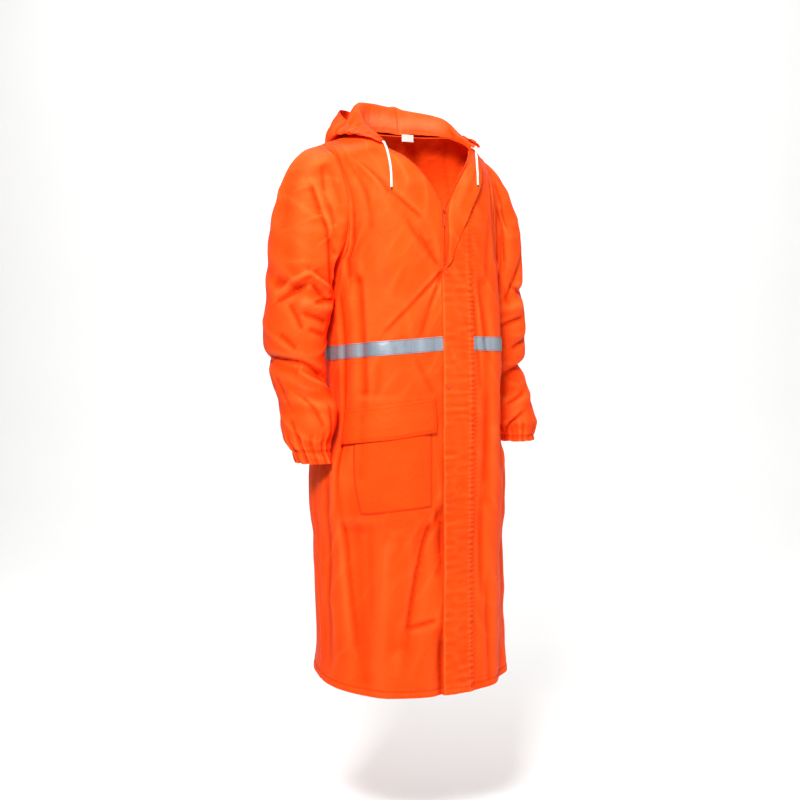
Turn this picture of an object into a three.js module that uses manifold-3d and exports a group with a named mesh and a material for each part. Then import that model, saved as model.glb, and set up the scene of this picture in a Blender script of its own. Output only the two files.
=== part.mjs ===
// A hooded raincoat of coated cloth, filled out as if worn, with its hood lying back.
// Millimetres, +Z up. The front faces -Y and the wearer's right is -X. The origin is inside the
// neck, level with the shoulders, where the wearer carries the coat.

import * as THREE from 'three';
import { mergeVertices } from 'three/addons/utils/BufferGeometryUtils.js';
import Module from 'manifold-3d';

// Cloth and clearances
const WALL = 2.0;
const THIN_WALL = 1.2;
const SEAM_PULL = 0.25;
const LIE_GAP = 0.9;

// Body of the coat
const HEM_FRONT = -1165;
const HEM_RISE_SIDE = 24;
const HEM_RISE_BACK = 50;
const ARMPIT_Z = -255;
const SHOULDER_DROP_FRONT = 150;
const SHOULDER_DROP_BACK = 130;
const FRONT_EDGE_X = 3;
const SLIDER_Z = -150;

// Mesh counts
const LOWER_ROWS = 12;
const ARMHOLE_ROWS = 12;
const FRONT_COLUMNS = 10;
const SLEEVE_RING = 2 * ARMHOLE_ROWS;
const CAP_ROWS = 8;
const ARM_ROWS = 15;

// Horizontal sections of the body, from the hem up
const BODY_SECTIONS = [
  { z: -1190, half: 218, front: -166, back: 160, seamY: 4, shift: 4, square: 2.3 },
  { z: -1080, half: 215, front: -163, back: 158, seamY: 4, shift: 4, square: 2.3 },
  { z: -960, half: 214, front: -162, back: 157, seamY: 6, shift: 1, square: 2.4 },
  { z: -830, half: 213, front: -163, back: 156, seamY: 8, shift: -2, square: 2.6 },
  { z: -710, half: 216, front: -165, back: 156, seamY: 10, shift: -5, square: 2.9 },
  { z: -620, half: 186, front: -166, back: 153, seamY: 12, shift: -2, square: 3.7 },
  { z: -520, half: 183, front: -166, back: 151, seamY: 14, shift: 1, square: 3.7 },
  { z: -430, half: 183, front: -164, back: 150, seamY: 16, shift: 1, square: 3.6 },
  { z: -330, half: 185, front: -160, back: 149, seamY: 18, shift: 0, square: 3.3 },
  { z: -255, half: 187, front: -155, back: 148, seamY: 20, shift: 0, square: 3.0 },
  { z: -150, half: 188, front: -150, back: 146, seamY: 30, shift: 0, square: 2.9 },
  { z: -60, half: 193, front: -142, back: 146, seamY: 40, shift: 0, square: 2.8 },
  { z: 60, half: 198, front: -136, back: 146, seamY: 46, shift: 0, square: 2.8 },
];

// The shoulder line, by distance out from the middle; the sewn seam is its last, straight stretch
const SHOULDER_LINE = [
  { x: 0, z: 47, y: -26 },
  { x: 60, z: 42, y: -6 },
  { x: 108, z: 31, y: 14 },
  { x: 190, z: 3, y: 46 },
];

// Armhole edges, by fraction of the way up from the armpit to the shoulder point
const ARMHOLE_FRONT = [
  { up: 0, x: 187, z: ARMPIT_Z },
  { up: 0.083, x: 186.6, z: -250 },
  { up: 0.167, x: 184.6, z: -237 },
  { up: 0.25, x: 182, z: -219 },
  { up: 0.5, x: 178, z: -150 },
  { up: 0.75, x: 183, z: -69 },
  { up: 1, x: 190, z: 3 },
];
const ARMHOLE_BACK = [
  { up: 0, x: 187, z: ARMPIT_Z },
  { up: 0.083, x: 186.4, z: -250 },
  { up: 0.167, x: 184, z: -236 },
  { up: 0.25, x: 181, z: -217 },
  { up: 0.5, x: 177, z: -145 },
  { up: 0.75, x: 182, z: -64 },
  { up: 1, x: 190, z: 3 },
];

// Inner edge of each front above the armpit, and the neck edge of the back. The hood begins at the
// corner of the opening.
const CORNER_UP = 10 / ARMHOLE_ROWS;
const RIGHT_OPENING = [
  { up: 0, x: 3, z: ARMPIT_Z },
  { up: 0.42, x: 3, z: -152 },
  { up: 0.54, x: 16, z: -116 },
  { up: 0.66, x: 40, z: -78 },
  { up: 0.75, x: 76, z: -38 },
  { up: CORNER_UP, x: 107, z: -14 },
  { up: 1, x: 108, z: 31 },
];
const LEFT_OPENING = [
  { up: 0, x: 3, z: ARMPIT_Z },
  { up: 0.42, x: 4, z: -152 },
  { up: 0.54, x: 20, z: -116 },
  { up: 0.66, x: 46, z: -78 },
  { up: 0.75, x: 80, z: -38 },
  { up: CORNER_UP, x: 107, z: -8 },
  { up: 1, x: 108, z: 31 },
];
const BACK_NECK_Z = 33;

// Large folds of the body, as troughs below or ridges above the panel. Across is the distance
// round from the centre front or centre back.
const FRONT_RIGHT_FOLDS = [
  { across: 196, z: -300, across2: 186, z2: -700, width: 16, rise: -10 },
  { across: 205, z: -700, across2: 178, z2: -1120, width: 24, rise: -11 },
  { across: 40, z: -800, across2: 92, z2: -1050, width: 26, rise: -8 },
  { across: 8, z: -790, across2: 10, z2: -900, width: 20, rise: -7 },
  { across: 8, z: -1040, across2: 8, z2: -1170, width: 22, rise: -8 },
  { across: 130, z: -860, across2: 140, z2: -1170, width: 30, rise: 6 },
  { across: 150, z: -70, across2: 60, z2: -190, width: 20, rise: -3 },
  { across: 30, z: -220, across2: 10, z2: -280, width: 12, rise: -3 },
];
const FRONT_LEFT_FOLDS = [
  { across: 96, z: -300, across2: 100, z2: -760, width: 16, rise: -4 },
  { across: 118, z: -620, across2: 124, z2: -1170, width: 24, rise: 6 },
  { across: 190, z: -300, across2: 192, z2: -640, width: 18, rise: -8 },
  { across: 196, z: -720, across2: 180, z2: -1150, width: 26, rise: -9 },
  { across: 150, z: -90, across2: 158, z2: -240, width: 14, rise: -4 },
];
const BACK_FOLDS = [
  { across: -60, z: -560, across2: -84, z2: -1120, width: 30, rise: -10 },
  { across: 70, z: -480, across2: 62, z2: -1120, width: 28, rise: -9 },
  { across: 5, z: -700, across2: -8, z2: -1120, width: 30, rise: 7 },
  { across: -150, z: -300, across2: -160, z2: -1100, width: 26, rise: -9 },
  { across: 158, z: -320, across2: 150, z2: -1100, width: 26, rise: -9 },
  { across: -120, z: -80, across2: -150, z2: -230, width: 16, rise: -5 },
  { across: 122, z: -80, across2: 150, z2: -230, width: 16, rise: -5 },
];

// Sleeve rings below the cap: the middle's distance out on each side, and half the ring's size
const SLEEVE_RINGS = [
  { z: -330, right: 243, left: 230, y: 44, halfX: 71, halfY: 93 },
  { z: -400, right: 252, left: 246, y: 50, halfX: 66, halfY: 92 },
  { z: -440, right: 253, left: 248, y: 50, halfX: 62, halfY: 88 },
  { z: -515, right: 249, left: 251, y: 36, halfX: 57, halfY: 72 },
  { z: -560, right: 239, left: 246, y: 12, halfX: 60, halfY: 71 },
  { z: -600, right: 244, left: 254, y: -4, halfX: 59, halfY: 68 },
  { z: -634, right: 249, left: 259, y: -14, halfX: 49, halfY: 51 },
  { z: -652, right: 246, left: 258, y: -20, halfX: 43, halfY: 45 },
  { z: -680, right: 239, left: 254, y: -27, halfX: 40, halfY: 43 },
];
const CUFF_RISE = { from: -600, right: 2, left: 31 };
const SLEEVE_CLEAR = 6;
const CUFF_GATHER = 2.6;
const CUFF_CASING_TOP = -640;

// How the sleeve cap leaves the armhole: outward and down parts at the shoulder, and handle lengths
const CAP_SHAPE = {
  right: { out: 0.96, down: 0.2, start: 0.34, end: 0.36 },
  left: { out: 0.93, down: 0.32, start: 0.29, end: 0.28 },
};

// Sleeve folds, by angle round the ring from its outer line towards the front, and height
const SLEEVE_FOLDS = [
  { angle: 62, z: -60, angle2: 128, z2: -300, width: 15, rise: -9 },
  { angle: 30, z: -90, angle2: 70, z2: -330, width: 20, rise: 5 },
  { angle: 20, z: -300, angle2: 95, z2: -330, width: 14, rise: -7 },
  { angle: 70, z: -345, angle2: 120, z2: -352, width: 14, rise: 7 },
  { angle: -40, z: -462, angle2: 120, z2: -500, width: 15, rise: -9 },
  { angle: 20, z: -545, angle2: 130, z2: -560, width: 16, rise: 6 },
  { angle: -120, z: -330, angle2: -60, z2: -430, width: 18, rise: -6 },
  { angle: -140, z: -520, angle2: -60, z2: -560, width: 16, rise: -6 },
];

// The hood, by station from its front corner (0) to the centre seam (1). Crest is the ridge that
// stands round the neck, low the bottom of the pouch, rim the edge of the face opening.
function hoodRows(...rows) {
  return rows.map(([at, crest, low, rim]) => ({
    at, crestX: crest[0], crestY: crest[1], crestZ: crest[2],
    lowX: low[0], lowY: low[1], lowZ: low[2], rimX: rim[0], rimY: rim[1], rimZ: rim[2],
  }));
}
const HOOD_RIGHT = hoodRows(
  [0, [110, -88, -3], [119, -88, -3], [113, -90, 3]],
  [0.16, [112, -42, 22], [140, -34, 18], [120, -34, 20]],
  [0.32, [119, 12, 60], [160, 6, 21], [132, 22, 42]],
  [0.48, [114, 44, 95], [174, 68, 16], [145, 58, 72]],
  [0.64, [90, 58, 110], [148, 140, -52], [131, 98, 92]],
  [0.82, [48, 66, 109], [82, 182, -104], [82, 146, 98]],
  [1, [0, 72, 101], [0, 196, -122], [0, 176, 82]],
);
const HOOD_LEFT = hoodRows(
  [0, [114, -88, 1], [126, -88, 0], [120, -90, 6]],
  [0.16, [114, -44, 18], [142, -34, 18], [128, -34, 24]],
  [0.32, [122, 8, 48], [164, 6, 20], [140, 16, 38]],
  [0.48, [118, 40, 70], [174, 68, 16], [148, 62, 52]],
  [0.64, [96, 56, 85], [150, 140, -52], [138, 104, 66]],
  [0.82, [52, 66, 95], [84, 182, -104], [86, 150, 76]],
  [1, [0, 72, 101], [0, 196, -122], [0, 176, 82]],
);
const HOOD_STATIONS = 9;
const HOOD_STEPS = 14;
const HOOD_CLEAR = 4;
const HOOD_SEAM_LIFT = 2.4;

// Storm flap on the wearer's left front: its turned-back lapel, row by row above the top snap
const FLAP_FREE_X = -10;
const FLAP_SEWN_X = 64;
const FLAP_LIFT = 3.0;
const FLAP_SEWN_LIFT = 1.9;
const LAPEL_GAP = 3.2;
const LAPEL_ROWS = [
  { z: -290, fold: -7.5, free: -10 },
  { z: -272, fold: -1, free: 1 },
  { z: -250, fold: 5, free: 12 },
  { z: -210, fold: 9, free: 30 },
  { z: -150, fold: 11, free: 60 },
  { z: -110, fold: 26, free: 82 },
  { z: -70, fold: 54, free: 100 },
  { z: -46, fold: 78, free: 110 },
];

// Pocket and its flap on the wearer's right front, across from the centre front
const POCKET = { inner: 33, outer: 206, lean: 1, topZ: -600, bottomInner: -768, bottomOuter: -782 };
const POCKET_FLAP = { inner: 26, outer: 247, topInner: -541, topOuter: -570, drop: 72 };

// Reflective tape
const TAPE_WIDTH = 30;
const TAPE_LIFT = 2.6;
const TAPE_Z = { centre: -428, rightSide: -450, leftSide: -436 };

// Zip, snaps, label and drawcords
const ZIP_TAPE_WIDTH = 15;
const ZIP_TAPE_PAST = 2.6;
const ZIP_TAPE_GAP = 0.5;
const BRIDGE_WIDTH = 2.2;
const PULL = {
  thickness: 1.2, standOff: 1.3, hang: 0.8, eyeTop: -0.7, eyeBottom: -5.4,
  outline: [[3.2, 0.1], [2.7, 0.7], [-2.7, 0.7], [-3.2, 0.1], [-2.6, -9], [-3, -13], [-3, -30],
    [-2, -32], [2, -32], [3, -30], [3, -13], [2.6, -9]],
};
const SNAP_HEIGHTS = [-280, -518, -756, -994];
const SNAP_X = 1;
const SNAP_RADIUS = 5.5;
const LABEL = { across: 19, width: 30, drop: 16, thickness: 1 };
const CORD_RADIUS = 2.5;
const CORD_RIGHT_ROUTE = [
  [-111.5, -88.8, -3.5], [-111.2, -93, -5.5], [-110, -97.5, -12.5], [-108, -101, -22],
  [-107.5, -107, -36], [-109, -117.5, -55], [-111.5, -126.5, -76], [-113, -130.5, -94],
  [-113.5, -132, -107],
];
const CORD_LEFT_ROUTE = [
  [114.5, -88.8, -0.5], [113.8, -93, -2.5], [110.5, -99.5, -9.5], [105, -108.5, -20],
  [99.5, -120, -34], [94.5, -129.5, -48], [91, -137.5, -64], [86.5, -144.8, -80],
  [84.5, -149.8, -95],
];

// Smooth value of one column of a table, by the column that the rows are sorted on
function column(table, key, name, at) {
  const last = table.length - 1;
  const first = table[0][key];
  const rising = table[last][key] > first;
  const clamped = rising
    ? Math.min(Math.max(at, first), table[last][key])
    : Math.max(Math.min(at, first), table[last][key]);
  let i = 0;
  while (i < last - 1 && (rising ? clamped > table[i + 1][key] : clamped < table[i + 1][key])) i += 1;
  const before = table[Math.max(i - 1, 0)];
  const a = table[i];
  const b = table[i + 1];
  const after = table[Math.min(i + 2, last)];
  const span = b[key] - a[key];
  const t = (clamped - a[key]) / span;
  const slopeA = (b[name] - before[name]) / (b[key] - before[key]);
  const slopeB = (after[name] - a[name]) / (after[key] - a[key]);
  const t2 = t * t;
  const t3 = t2 * t;
  return (2 * t3 - 3 * t2 + 1) * a[name] + (t3 - 2 * t2 + t) * span * slopeA
    + (3 * t2 - 2 * t3) * b[name] + (t3 - t2) * span * slopeB;
}

// Straight-line value of one column of a table
function straight(table, key, name, at) {
  let i = 0;
  while (i < table.length - 2 && at > table[i + 1][key]) i += 1;
  const a = table[i];
  const b = table[i + 1];
  const t = Math.min(Math.max((at - a[key]) / (b[key] - a[key]), 0), 1);
  return a[name] + (b[name] - a[name]) * t;
}

function mix(a, b, t) {
  return a + (b - a) * t;
}

// Height a fold adds at a place given by two distances, in mm
function foldRise(folds, across, z) {
  let rise = 0;
  for (const fold of folds) {
    const dx = fold.across2 - fold.across;
    const dz = fold.z2 - fold.z;
    const along = ((across - fold.across) * dx + (z - fold.z) * dz) / (dx * dx + dz * dz);
    const t = Math.min(Math.max(along, 0), 1);
    const gap = Math.hypot(across - fold.across - t * dx, z - fold.z - t * dz);
    rise += fold.rise * Math.exp(-((gap / fold.width) ** 2));
  }
  return rise;
}

// Body section at height z: its half width, depth to one face, seam place and squareness
function section(z, face) {
  const seamY = column(BODY_SECTIONS, 'z', 'seamY', z);
  const reach = column(BODY_SECTIONS, 'z', face < 0 ? 'front' : 'back', z);
  return {
    half: column(BODY_SECTIONS, 'z', 'half', z),
    seamY,
    depth: Math.abs(reach - seamY),
    shift: column(BODY_SECTIONS, 'z', 'shift', z),
    square: column(BODY_SECTIONS, 'z', 'square', z),
  };
}

// Y of the body's face (-1 front, 1 back) at x and z, rounded over to the shoulder line at the top
function faceY(face, x, z) {
  const s = section(z, face);
  const out = Math.min(Math.abs(x - s.shift) / s.half, 1);
  const sectionY = s.seamY + face * s.depth * (1 - out ** s.square) ** (1 / s.square);
  const drop = face < 0 ? SHOULDER_DROP_FRONT : SHOULDER_DROP_BACK;
  const below = (straight(SHOULDER_LINE, 'x', 'z', Math.abs(x)) - z) / drop;
  const t = Math.min(Math.max(below, 0), 1);
  const ridgeY = straight(SHOULDER_LINE, 'x', 'y', Math.abs(x));
  return ridgeY + (sectionY - ridgeY) * Math.sqrt(1 - (1 - t) ** 2);
}

// Points round one face from the centre (0) to the side seam (1), at a constant height
function sectionArc(face, side, z) {
  const s = section(z, face);
  const steps = 120;
  const points = [];
  for (let i = 0; i <= steps; i += 1) {
    const angle = (i / steps) * Math.PI / 2;
    const power = 2 / s.square;
    const x = s.shift + side * s.half * Math.sin(angle) ** power;
    const y = s.seamY + face * s.depth * Math.cos(angle) ** power;
    points.push(new THREE.Vector2(x, i === steps ? s.seamY : y));
  }
  const startX = side * FRONT_EDGE_X;
  const kept = points.filter((p) => face > 0 || (p.x - startX) * side > 0);
  if (face < 0) kept.unshift(new THREE.Vector2(startX, points[0].y));
  if (face > 0) {
    while (kept.length > 1 && kept[1].x * side <= 0) kept.shift();
    kept[0] = new THREE.Vector2(0, kept[1].y);
  }
  return kept;
}

function arcLengths(points) {
  const lengths = [0];
  for (let i = 1; i < points.length; i += 1) {
    lengths.push(lengths[i - 1] + points[i].distanceTo(points[i - 1]));
  }
  return lengths;
}

function pointAlong(points, lengths, distance) {
  let i = 1;
  while (i < points.length - 1 && lengths[i] < distance) i += 1;
  const t = (distance - lengths[i - 1]) / (lengths[i] - lengths[i - 1]);
  return points[i - 1].clone().lerp(points[i], Math.min(Math.max(t, 0), 1));
}

// Distances of a front's columns from its edge, for a face of the given girth
function frontDistances(girth) {
  const near = [0, 29, 61];
  const distances = [];
  for (let i = 0; i <= FRONT_COLUMNS; i += 1) {
    const rest = (i - near.length + 1) / (FRONT_COLUMNS - near.length + 1);
    distances.push(i < near.length ? near[i] : mix(near[near.length - 1], girth, rest));
  }
  return distances;
}

function hemZ(face, outward) {
  const rise = face < 0
    ? HEM_RISE_SIDE * outward ** 2
    : mix(HEM_RISE_BACK, HEM_RISE_SIDE, outward ** 2);
  return HEM_FRONT + rise;
}

// A sheet of cloth is rows of points on its outer side, with the distance round at each point
function makeSheet(rows, across, closed = false) {
  return { rows, across, closed, normals: null };
}

// One half of a face of the coat, in rows from the hem to the shoulder and neck
function bodyHalf(face, side, opening, armhole) {
  const rows = [];
  const across = [];
  const last = FRONT_COLUMNS;
  for (let j = 0; j <= LOWER_ROWS; j += 1) {
    const row = [];
    const distances = [];
    for (let i = 0; i <= last; i += 1) {
      const z = mix(hemZ(face, i / last), ARMPIT_Z, j / LOWER_ROWS);
      const arc = sectionArc(face, side, z);
      const lengths = arcLengths(arc);
      const girth = lengths[lengths.length - 1];
      const distance = face < 0 ? frontDistances(girth)[i] : (i / last) * girth;
      const p = pointAlong(arc, lengths, distance);
      row.push(new THREE.Vector3(p.x, p.y, z));
      distances.push(distance);
    }
    rows.push(row);
    across.push(distances);
  }
  const start = rows[LOWER_ROWS];
  for (let j = 1; j <= ARMHOLE_ROWS; j += 1) {
    const up = j / ARMHOLE_ROWS;
    const inX = face < 0 ? side * straight(opening, 'up', 'x', up) : 0;
    const inZ = face < 0 ? straight(opening, 'up', 'z', up) : mix(ARMPIT_Z, BACK_NECK_Z, up);
    const outX = side * column(armhole, 'up', 'x', up);
    const outZ = column(armhole, 'up', 'z', up);
    const row = start.map((base) => {
      const part = (base.x - start[0].x) / (start[last].x - start[0].x);
      const x = mix(inX, outX, part);
      const level = mix(inZ, outZ, part);
      const top = Math.min(straight(SHOULDER_LINE, 'x', 'z', Math.abs(x)), BACK_NECK_Z);
      const lift = face < 0 ? 0 : up ** 3 * (top - mix(BACK_NECK_Z, outZ, part));
      const z = level + lift;
      return new THREE.Vector3(x, faceY(face, x, z), z);
    });
    rows.push(row);
    across.push(across[LOWER_ROWS]);
  }
  return makeSheet(rows, across);
}

// The whole back, from the wearer's right side seam to the left one
function backSheet() {
  const right = bodyHalf(1, -1, null, ARMHOLE_BACK);
  const left = bodyHalf(1, 1, null, ARMHOLE_BACK);
  const rows = right.rows.map((row, j) => [...row.slice(1).reverse(), ...left.rows[j]]);
  const across = right.across.map((row, j) => [
    ...row.slice(1).reverse().map((d) => -d), ...left.across[j],
  ]);
  return makeSheet(rows, across);
}

// Normals at every point of a sheet, from the faces round it; sign turns them outward
function sheetNormals(sheet, sign) {
  const { rows, closed } = sheet;
  const count = rows[0].length;
  const sums = rows.map((row) => row.map(() => new THREE.Vector3()));
  const lastColumn = closed ? count : count - 1;
  for (let j = 0; j < rows.length - 1; j += 1) {
    for (let i = 0; i < lastColumn; i += 1) {
      const k = (i + 1) % count;
      const a = rows[j][i];
      const b = rows[j][k];
      const c = rows[j + 1][k];
      const d = rows[j + 1][i];
      const n = new THREE.Vector3().subVectors(c, a).cross(new THREE.Vector3().subVectors(d, b));
      n.multiplyScalar(sign);
      for (const [row, col] of [[j, i], [j, k], [j + 1, k], [j + 1, i]]) sums[row][col].add(n);
    }
  }
  sheet.normals = sums;
}

function eachBorder(sheet, visit) {
  const lastRow = sheet.rows.length - 1;
  const lastColumn = sheet.rows[0].length - 1;
  sheet.rows.forEach((row, j) => row.forEach((p, i) => {
    const side = !sheet.closed && (i === 0 || i === lastColumn);
    if (j === 0 || j === lastRow || side) visit(j, i, p);
  }));
}

const placeKey = (p) => `${p.x.toFixed(2)} ${p.y.toFixed(2)} ${p.z.toFixed(2)}`;

// Gives points that two sheets share at a seam one normal, so that their walls meet cleanly
function weldNormals(sheets) {
  const shared = new Map();
  for (const sheet of sheets) {
    eachBorder(sheet, (j, i, p) => {
      const key = placeKey(p);
      if (!shared.has(key)) shared.set(key, new THREE.Vector3());
      shared.get(key).add(sheet.normals[j][i].clone().normalize());
    });
  }
  for (const sheet of sheets) {
    eachBorder(sheet, (j, i, p) => sheet.normals[j][i].copy(shared.get(placeKey(p))));
  }
}

function unitNormals(sheets) {
  for (const sheet of sheets) sheet.normals.forEach((row) => row.forEach((n) => n.normalize()));
}

// Moves a sheet's points out by its folds, fading out at the seams
function applyFolds(sheet, folds, seamColumns, topRows) {
  const lastColumn = sheet.rows[0].length - 1;
  const lastRow = sheet.rows.length - 1;
  sheet.rows = sheet.rows.map((row, j) => row.map((p, i) => {
    const fromSeam = Math.min(...seamColumns.map((c) => Math.abs(i - (c < 0 ? lastColumn : c))));
    const fade = Math.min(fromSeam / 2, 1) * Math.min((lastRow - j) / topRows, 1);
    const rise = foldRise(folds, sheet.across[j][i], p.z) * fade;
    return p.clone().addScaledVector(sheet.normals[j][i], rise);
  }));
}

// A closed wall from a sheet: outer points, inner points below them and the edges between
function wallGeometry(sheet, wall, pull = SEAM_PULL) {
  const { rows, normals, closed } = sheet;
  const count = rows[0].length;
  const lastRow = rows.length - 1;
  const positions = [];
  const place = (j, i, depth) => {
    const p = rows[j][i].clone().addScaledVector(normals[j][i], -depth);
    // Moves the point in from a border, square to the border's own line
    const toward = (row, col, before, after) => {
      const along = new THREE.Vector3().subVectors(after, before).normalize();
      const step = new THREE.Vector3().subVectors(rows[row][col], rows[j][i]);
      step.addScaledVector(along, -step.dot(along));
      p.addScaledVector(step.normalize(), pull);
    };
    const down = rows[Math.max(j - 1, 0)][i];
    const up = rows[Math.min(j + 1, lastRow)][i];
    const left = closed ? rows[j][(i + count - 1) % count] : rows[j][Math.max(i - 1, 0)];
    const right = closed ? rows[j][(i + 1) % count] : rows[j][Math.min(i + 1, count - 1)];
    if (!closed && i === 0) toward(j, 1, down, up);
    if (!closed && i === count - 1) toward(j, count - 2, down, up);
    if (j === 0) toward(1, i, left, right);
    if (j === lastRow) toward(lastRow - 1, i, left, right);
    return p;
  };
  for (const depth of [0, wall]) {
    for (let j = 0; j <= lastRow; j += 1) {
      for (let i = 0; i < count; i += 1) positions.push(...place(j, i, depth).toArray());
    }
  }
  const inner = rows.length * count;
  const index = [];
  const quad = (a, b, c, d) => index.push(a, b, c, a, c, d);
  const columns = closed ? count : count - 1;
  for (let j = 0; j < lastRow; j += 1) {
    for (let i = 0; i < columns; i += 1) {
      const k = (i + 1) % count;
      const [a, b, c, d] = [j * count + i, j * count + k, (j + 1) * count + k, (j + 1) * count + i];
      quad(a, b, c, d);
      index.push(a + inner, c + inner, b + inner, a + inner, d + inner, c + inner);
    }
  }
  for (let i = 0; i < columns; i += 1) {
    const k = (i + 1) % count;
    quad(i + inner, k + inner, k, i);
    const top = lastRow * count;
    quad(top + i, top + k, top + k + inner, top + i + inner);
  }
  if (!closed) {
    for (let j = 0; j < lastRow; j += 1) {
      const [a, d] = [j * count, (j + 1) * count];
      quad(a + inner, a, d, d + inner);
      const [b, c] = [a + count - 1, d + count - 1];
      quad(b, b + inner, c + inner, c);
    }
  }
  return facedOutward(positions, index);
}

function facedOutward(positions, index) {
  let volume = 0;
  const corner = (k) => new THREE.Vector3().fromArray(positions, 3 * index[k]);
  for (let k = 0; k < index.length; k += 3) {
    volume += corner(k).dot(corner(k + 1).cross(corner(k + 2)));
  }
  if (volume < 0) {
    for (let k = 0; k < index.length; k += 3) {
      [index[k + 1], index[k + 2]] = [index[k + 2], index[k + 1]];
    }
  }
  const geometry = new THREE.BufferGeometry();
  geometry.setAttribute('position', new THREE.Float32BufferAttribute(positions, 3));
  geometry.setIndex(index);
  return geometry;
}

// Place and normal on a sheet at fractional column u and row v; past an edge it runs on straight
function onSheet(sheet, u, v) {
  const i = Math.min(Math.max(Math.floor(u), 0), sheet.rows[0].length - 2);
  const j = Math.min(Math.max(Math.floor(v), 0), sheet.rows.length - 2);
  const s = u - i;
  const t = v - j;
  const blend = (grid) => {
    const low = grid[j][i].clone().lerp(grid[j][i + 1], s);
    const high = grid[j + 1][i].clone().lerp(grid[j + 1][i + 1], s);
    return low.lerp(high, t);
  };
  return { point: blend(sheet.rows), normal: blend(sheet.normals).normalize() };
}

function columnAt(sheet, row, distance) {
  const across = sheet.across[row];
  let i = 0;
  while (i < across.length - 2 && across[i + 1] < distance) i += 1;
  return i + (distance - across[i]) / (across[i + 1] - across[i]);
}

function rowAt(sheet, u, z) {
  let low = 0;
  let high = sheet.rows.length - 1;
  for (let k = 0; k < 40; k += 1) {
    const middle = (low + high) / 2;
    if (onSheet(sheet, u, middle).point.z < z) low = middle;
    else high = middle;
  }
  return low;
}

// The sheet's own column lines between two columns, with both ends
function linesBetween(from, to) {
  const lines = [from];
  for (let k = Math.ceil(from + 0.15); k < to - 0.15; k += 1) lines.push(k);
  lines.push(to);
  return lines;
}

// A piece that lies on a sheet: its points moved out by a gap and the piece's own thickness. Lean
// widens its top and narrows its bottom at the far edge, in columns of the sheet.
function pieceOn(sheet, from, to, bottomZ, topZ, bands, lift, lean = 0) {
  const widest = to + lean / 2;
  const lines = linesBetween(from, widest);
  const rows = [];
  const normals = [];
  for (let k = 0; k <= bands; k += 1) {
    const end = to + lean * (k / bands - 0.5);
    const row = [];
    const facing = [];
    for (const u of lines) {
      const part = (u - from) / (widest - from);
      const z = mix(bottomZ(part), topZ(part), k / bands);
      const at = u === widest ? end : Math.min(u, end - 0.2);
      const place = onSheet(sheet, at, rowAt(sheet, at, z));
      row.push(place.point.addScaledVector(place.normal, lift));
      facing.push(place.normal);
    }
    rows.push(row);
    normals.push(facing);
  }
  return { rows, normals, closed: false };
}

// Half-ring of armhole points from the shoulder down to the armpit
function armholeEdge(sheet, columnIndex) {
  const points = [];
  const normals = [];
  for (let j = sheet.rows.length - 1; j >= LOWER_ROWS; j -= 1) {
    points.push(sheet.rows[j][columnIndex].clone());
    normals.push(sheet.normals[j][columnIndex].clone());
  }
  return { points, normals };
}

function sleeveRing(side, z) {
  const name = side < 0 ? 'right' : 'left';
  return {
    x: side * column(SLEEVE_RINGS, 'z', name, z),
    y: column(SLEEVE_RINGS, 'z', 'y', z),
    halfX: column(SLEEVE_RINGS, 'z', 'halfX', z),
    halfY: column(SLEEVE_RINGS, 'z', 'halfY', z),
  };
}

// Point of a sleeve's ring at an angle from its outer line towards the front
function ringPoint(side, z, angle) {
  const ring = sleeveRing(side, z);
  const x = ring.x + side * ring.halfX * Math.cos(angle);
  const y = ring.y - ring.halfY * Math.sin(angle);
  return new THREE.Vector3(clearOfBody(side, x, y, z, SLEEVE_CLEAR), y, z);
}

// Keeps a sleeve's x outside the body's side by a gap
function clearOfBody(side, x, y, z, gap) {
  const face = y < section(z, -1).seamY ? -1 : 1;
  const s = section(z, face);
  const out = Math.min(Math.abs(y - s.seamY) / s.depth, 1);
  const edge = Math.abs(s.shift * side) * Math.sign(s.shift * side)
    + s.half * (1 - out ** s.square) ** (1 / s.square) + gap;
  return side * Math.max(side * x, edge);
}

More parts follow.
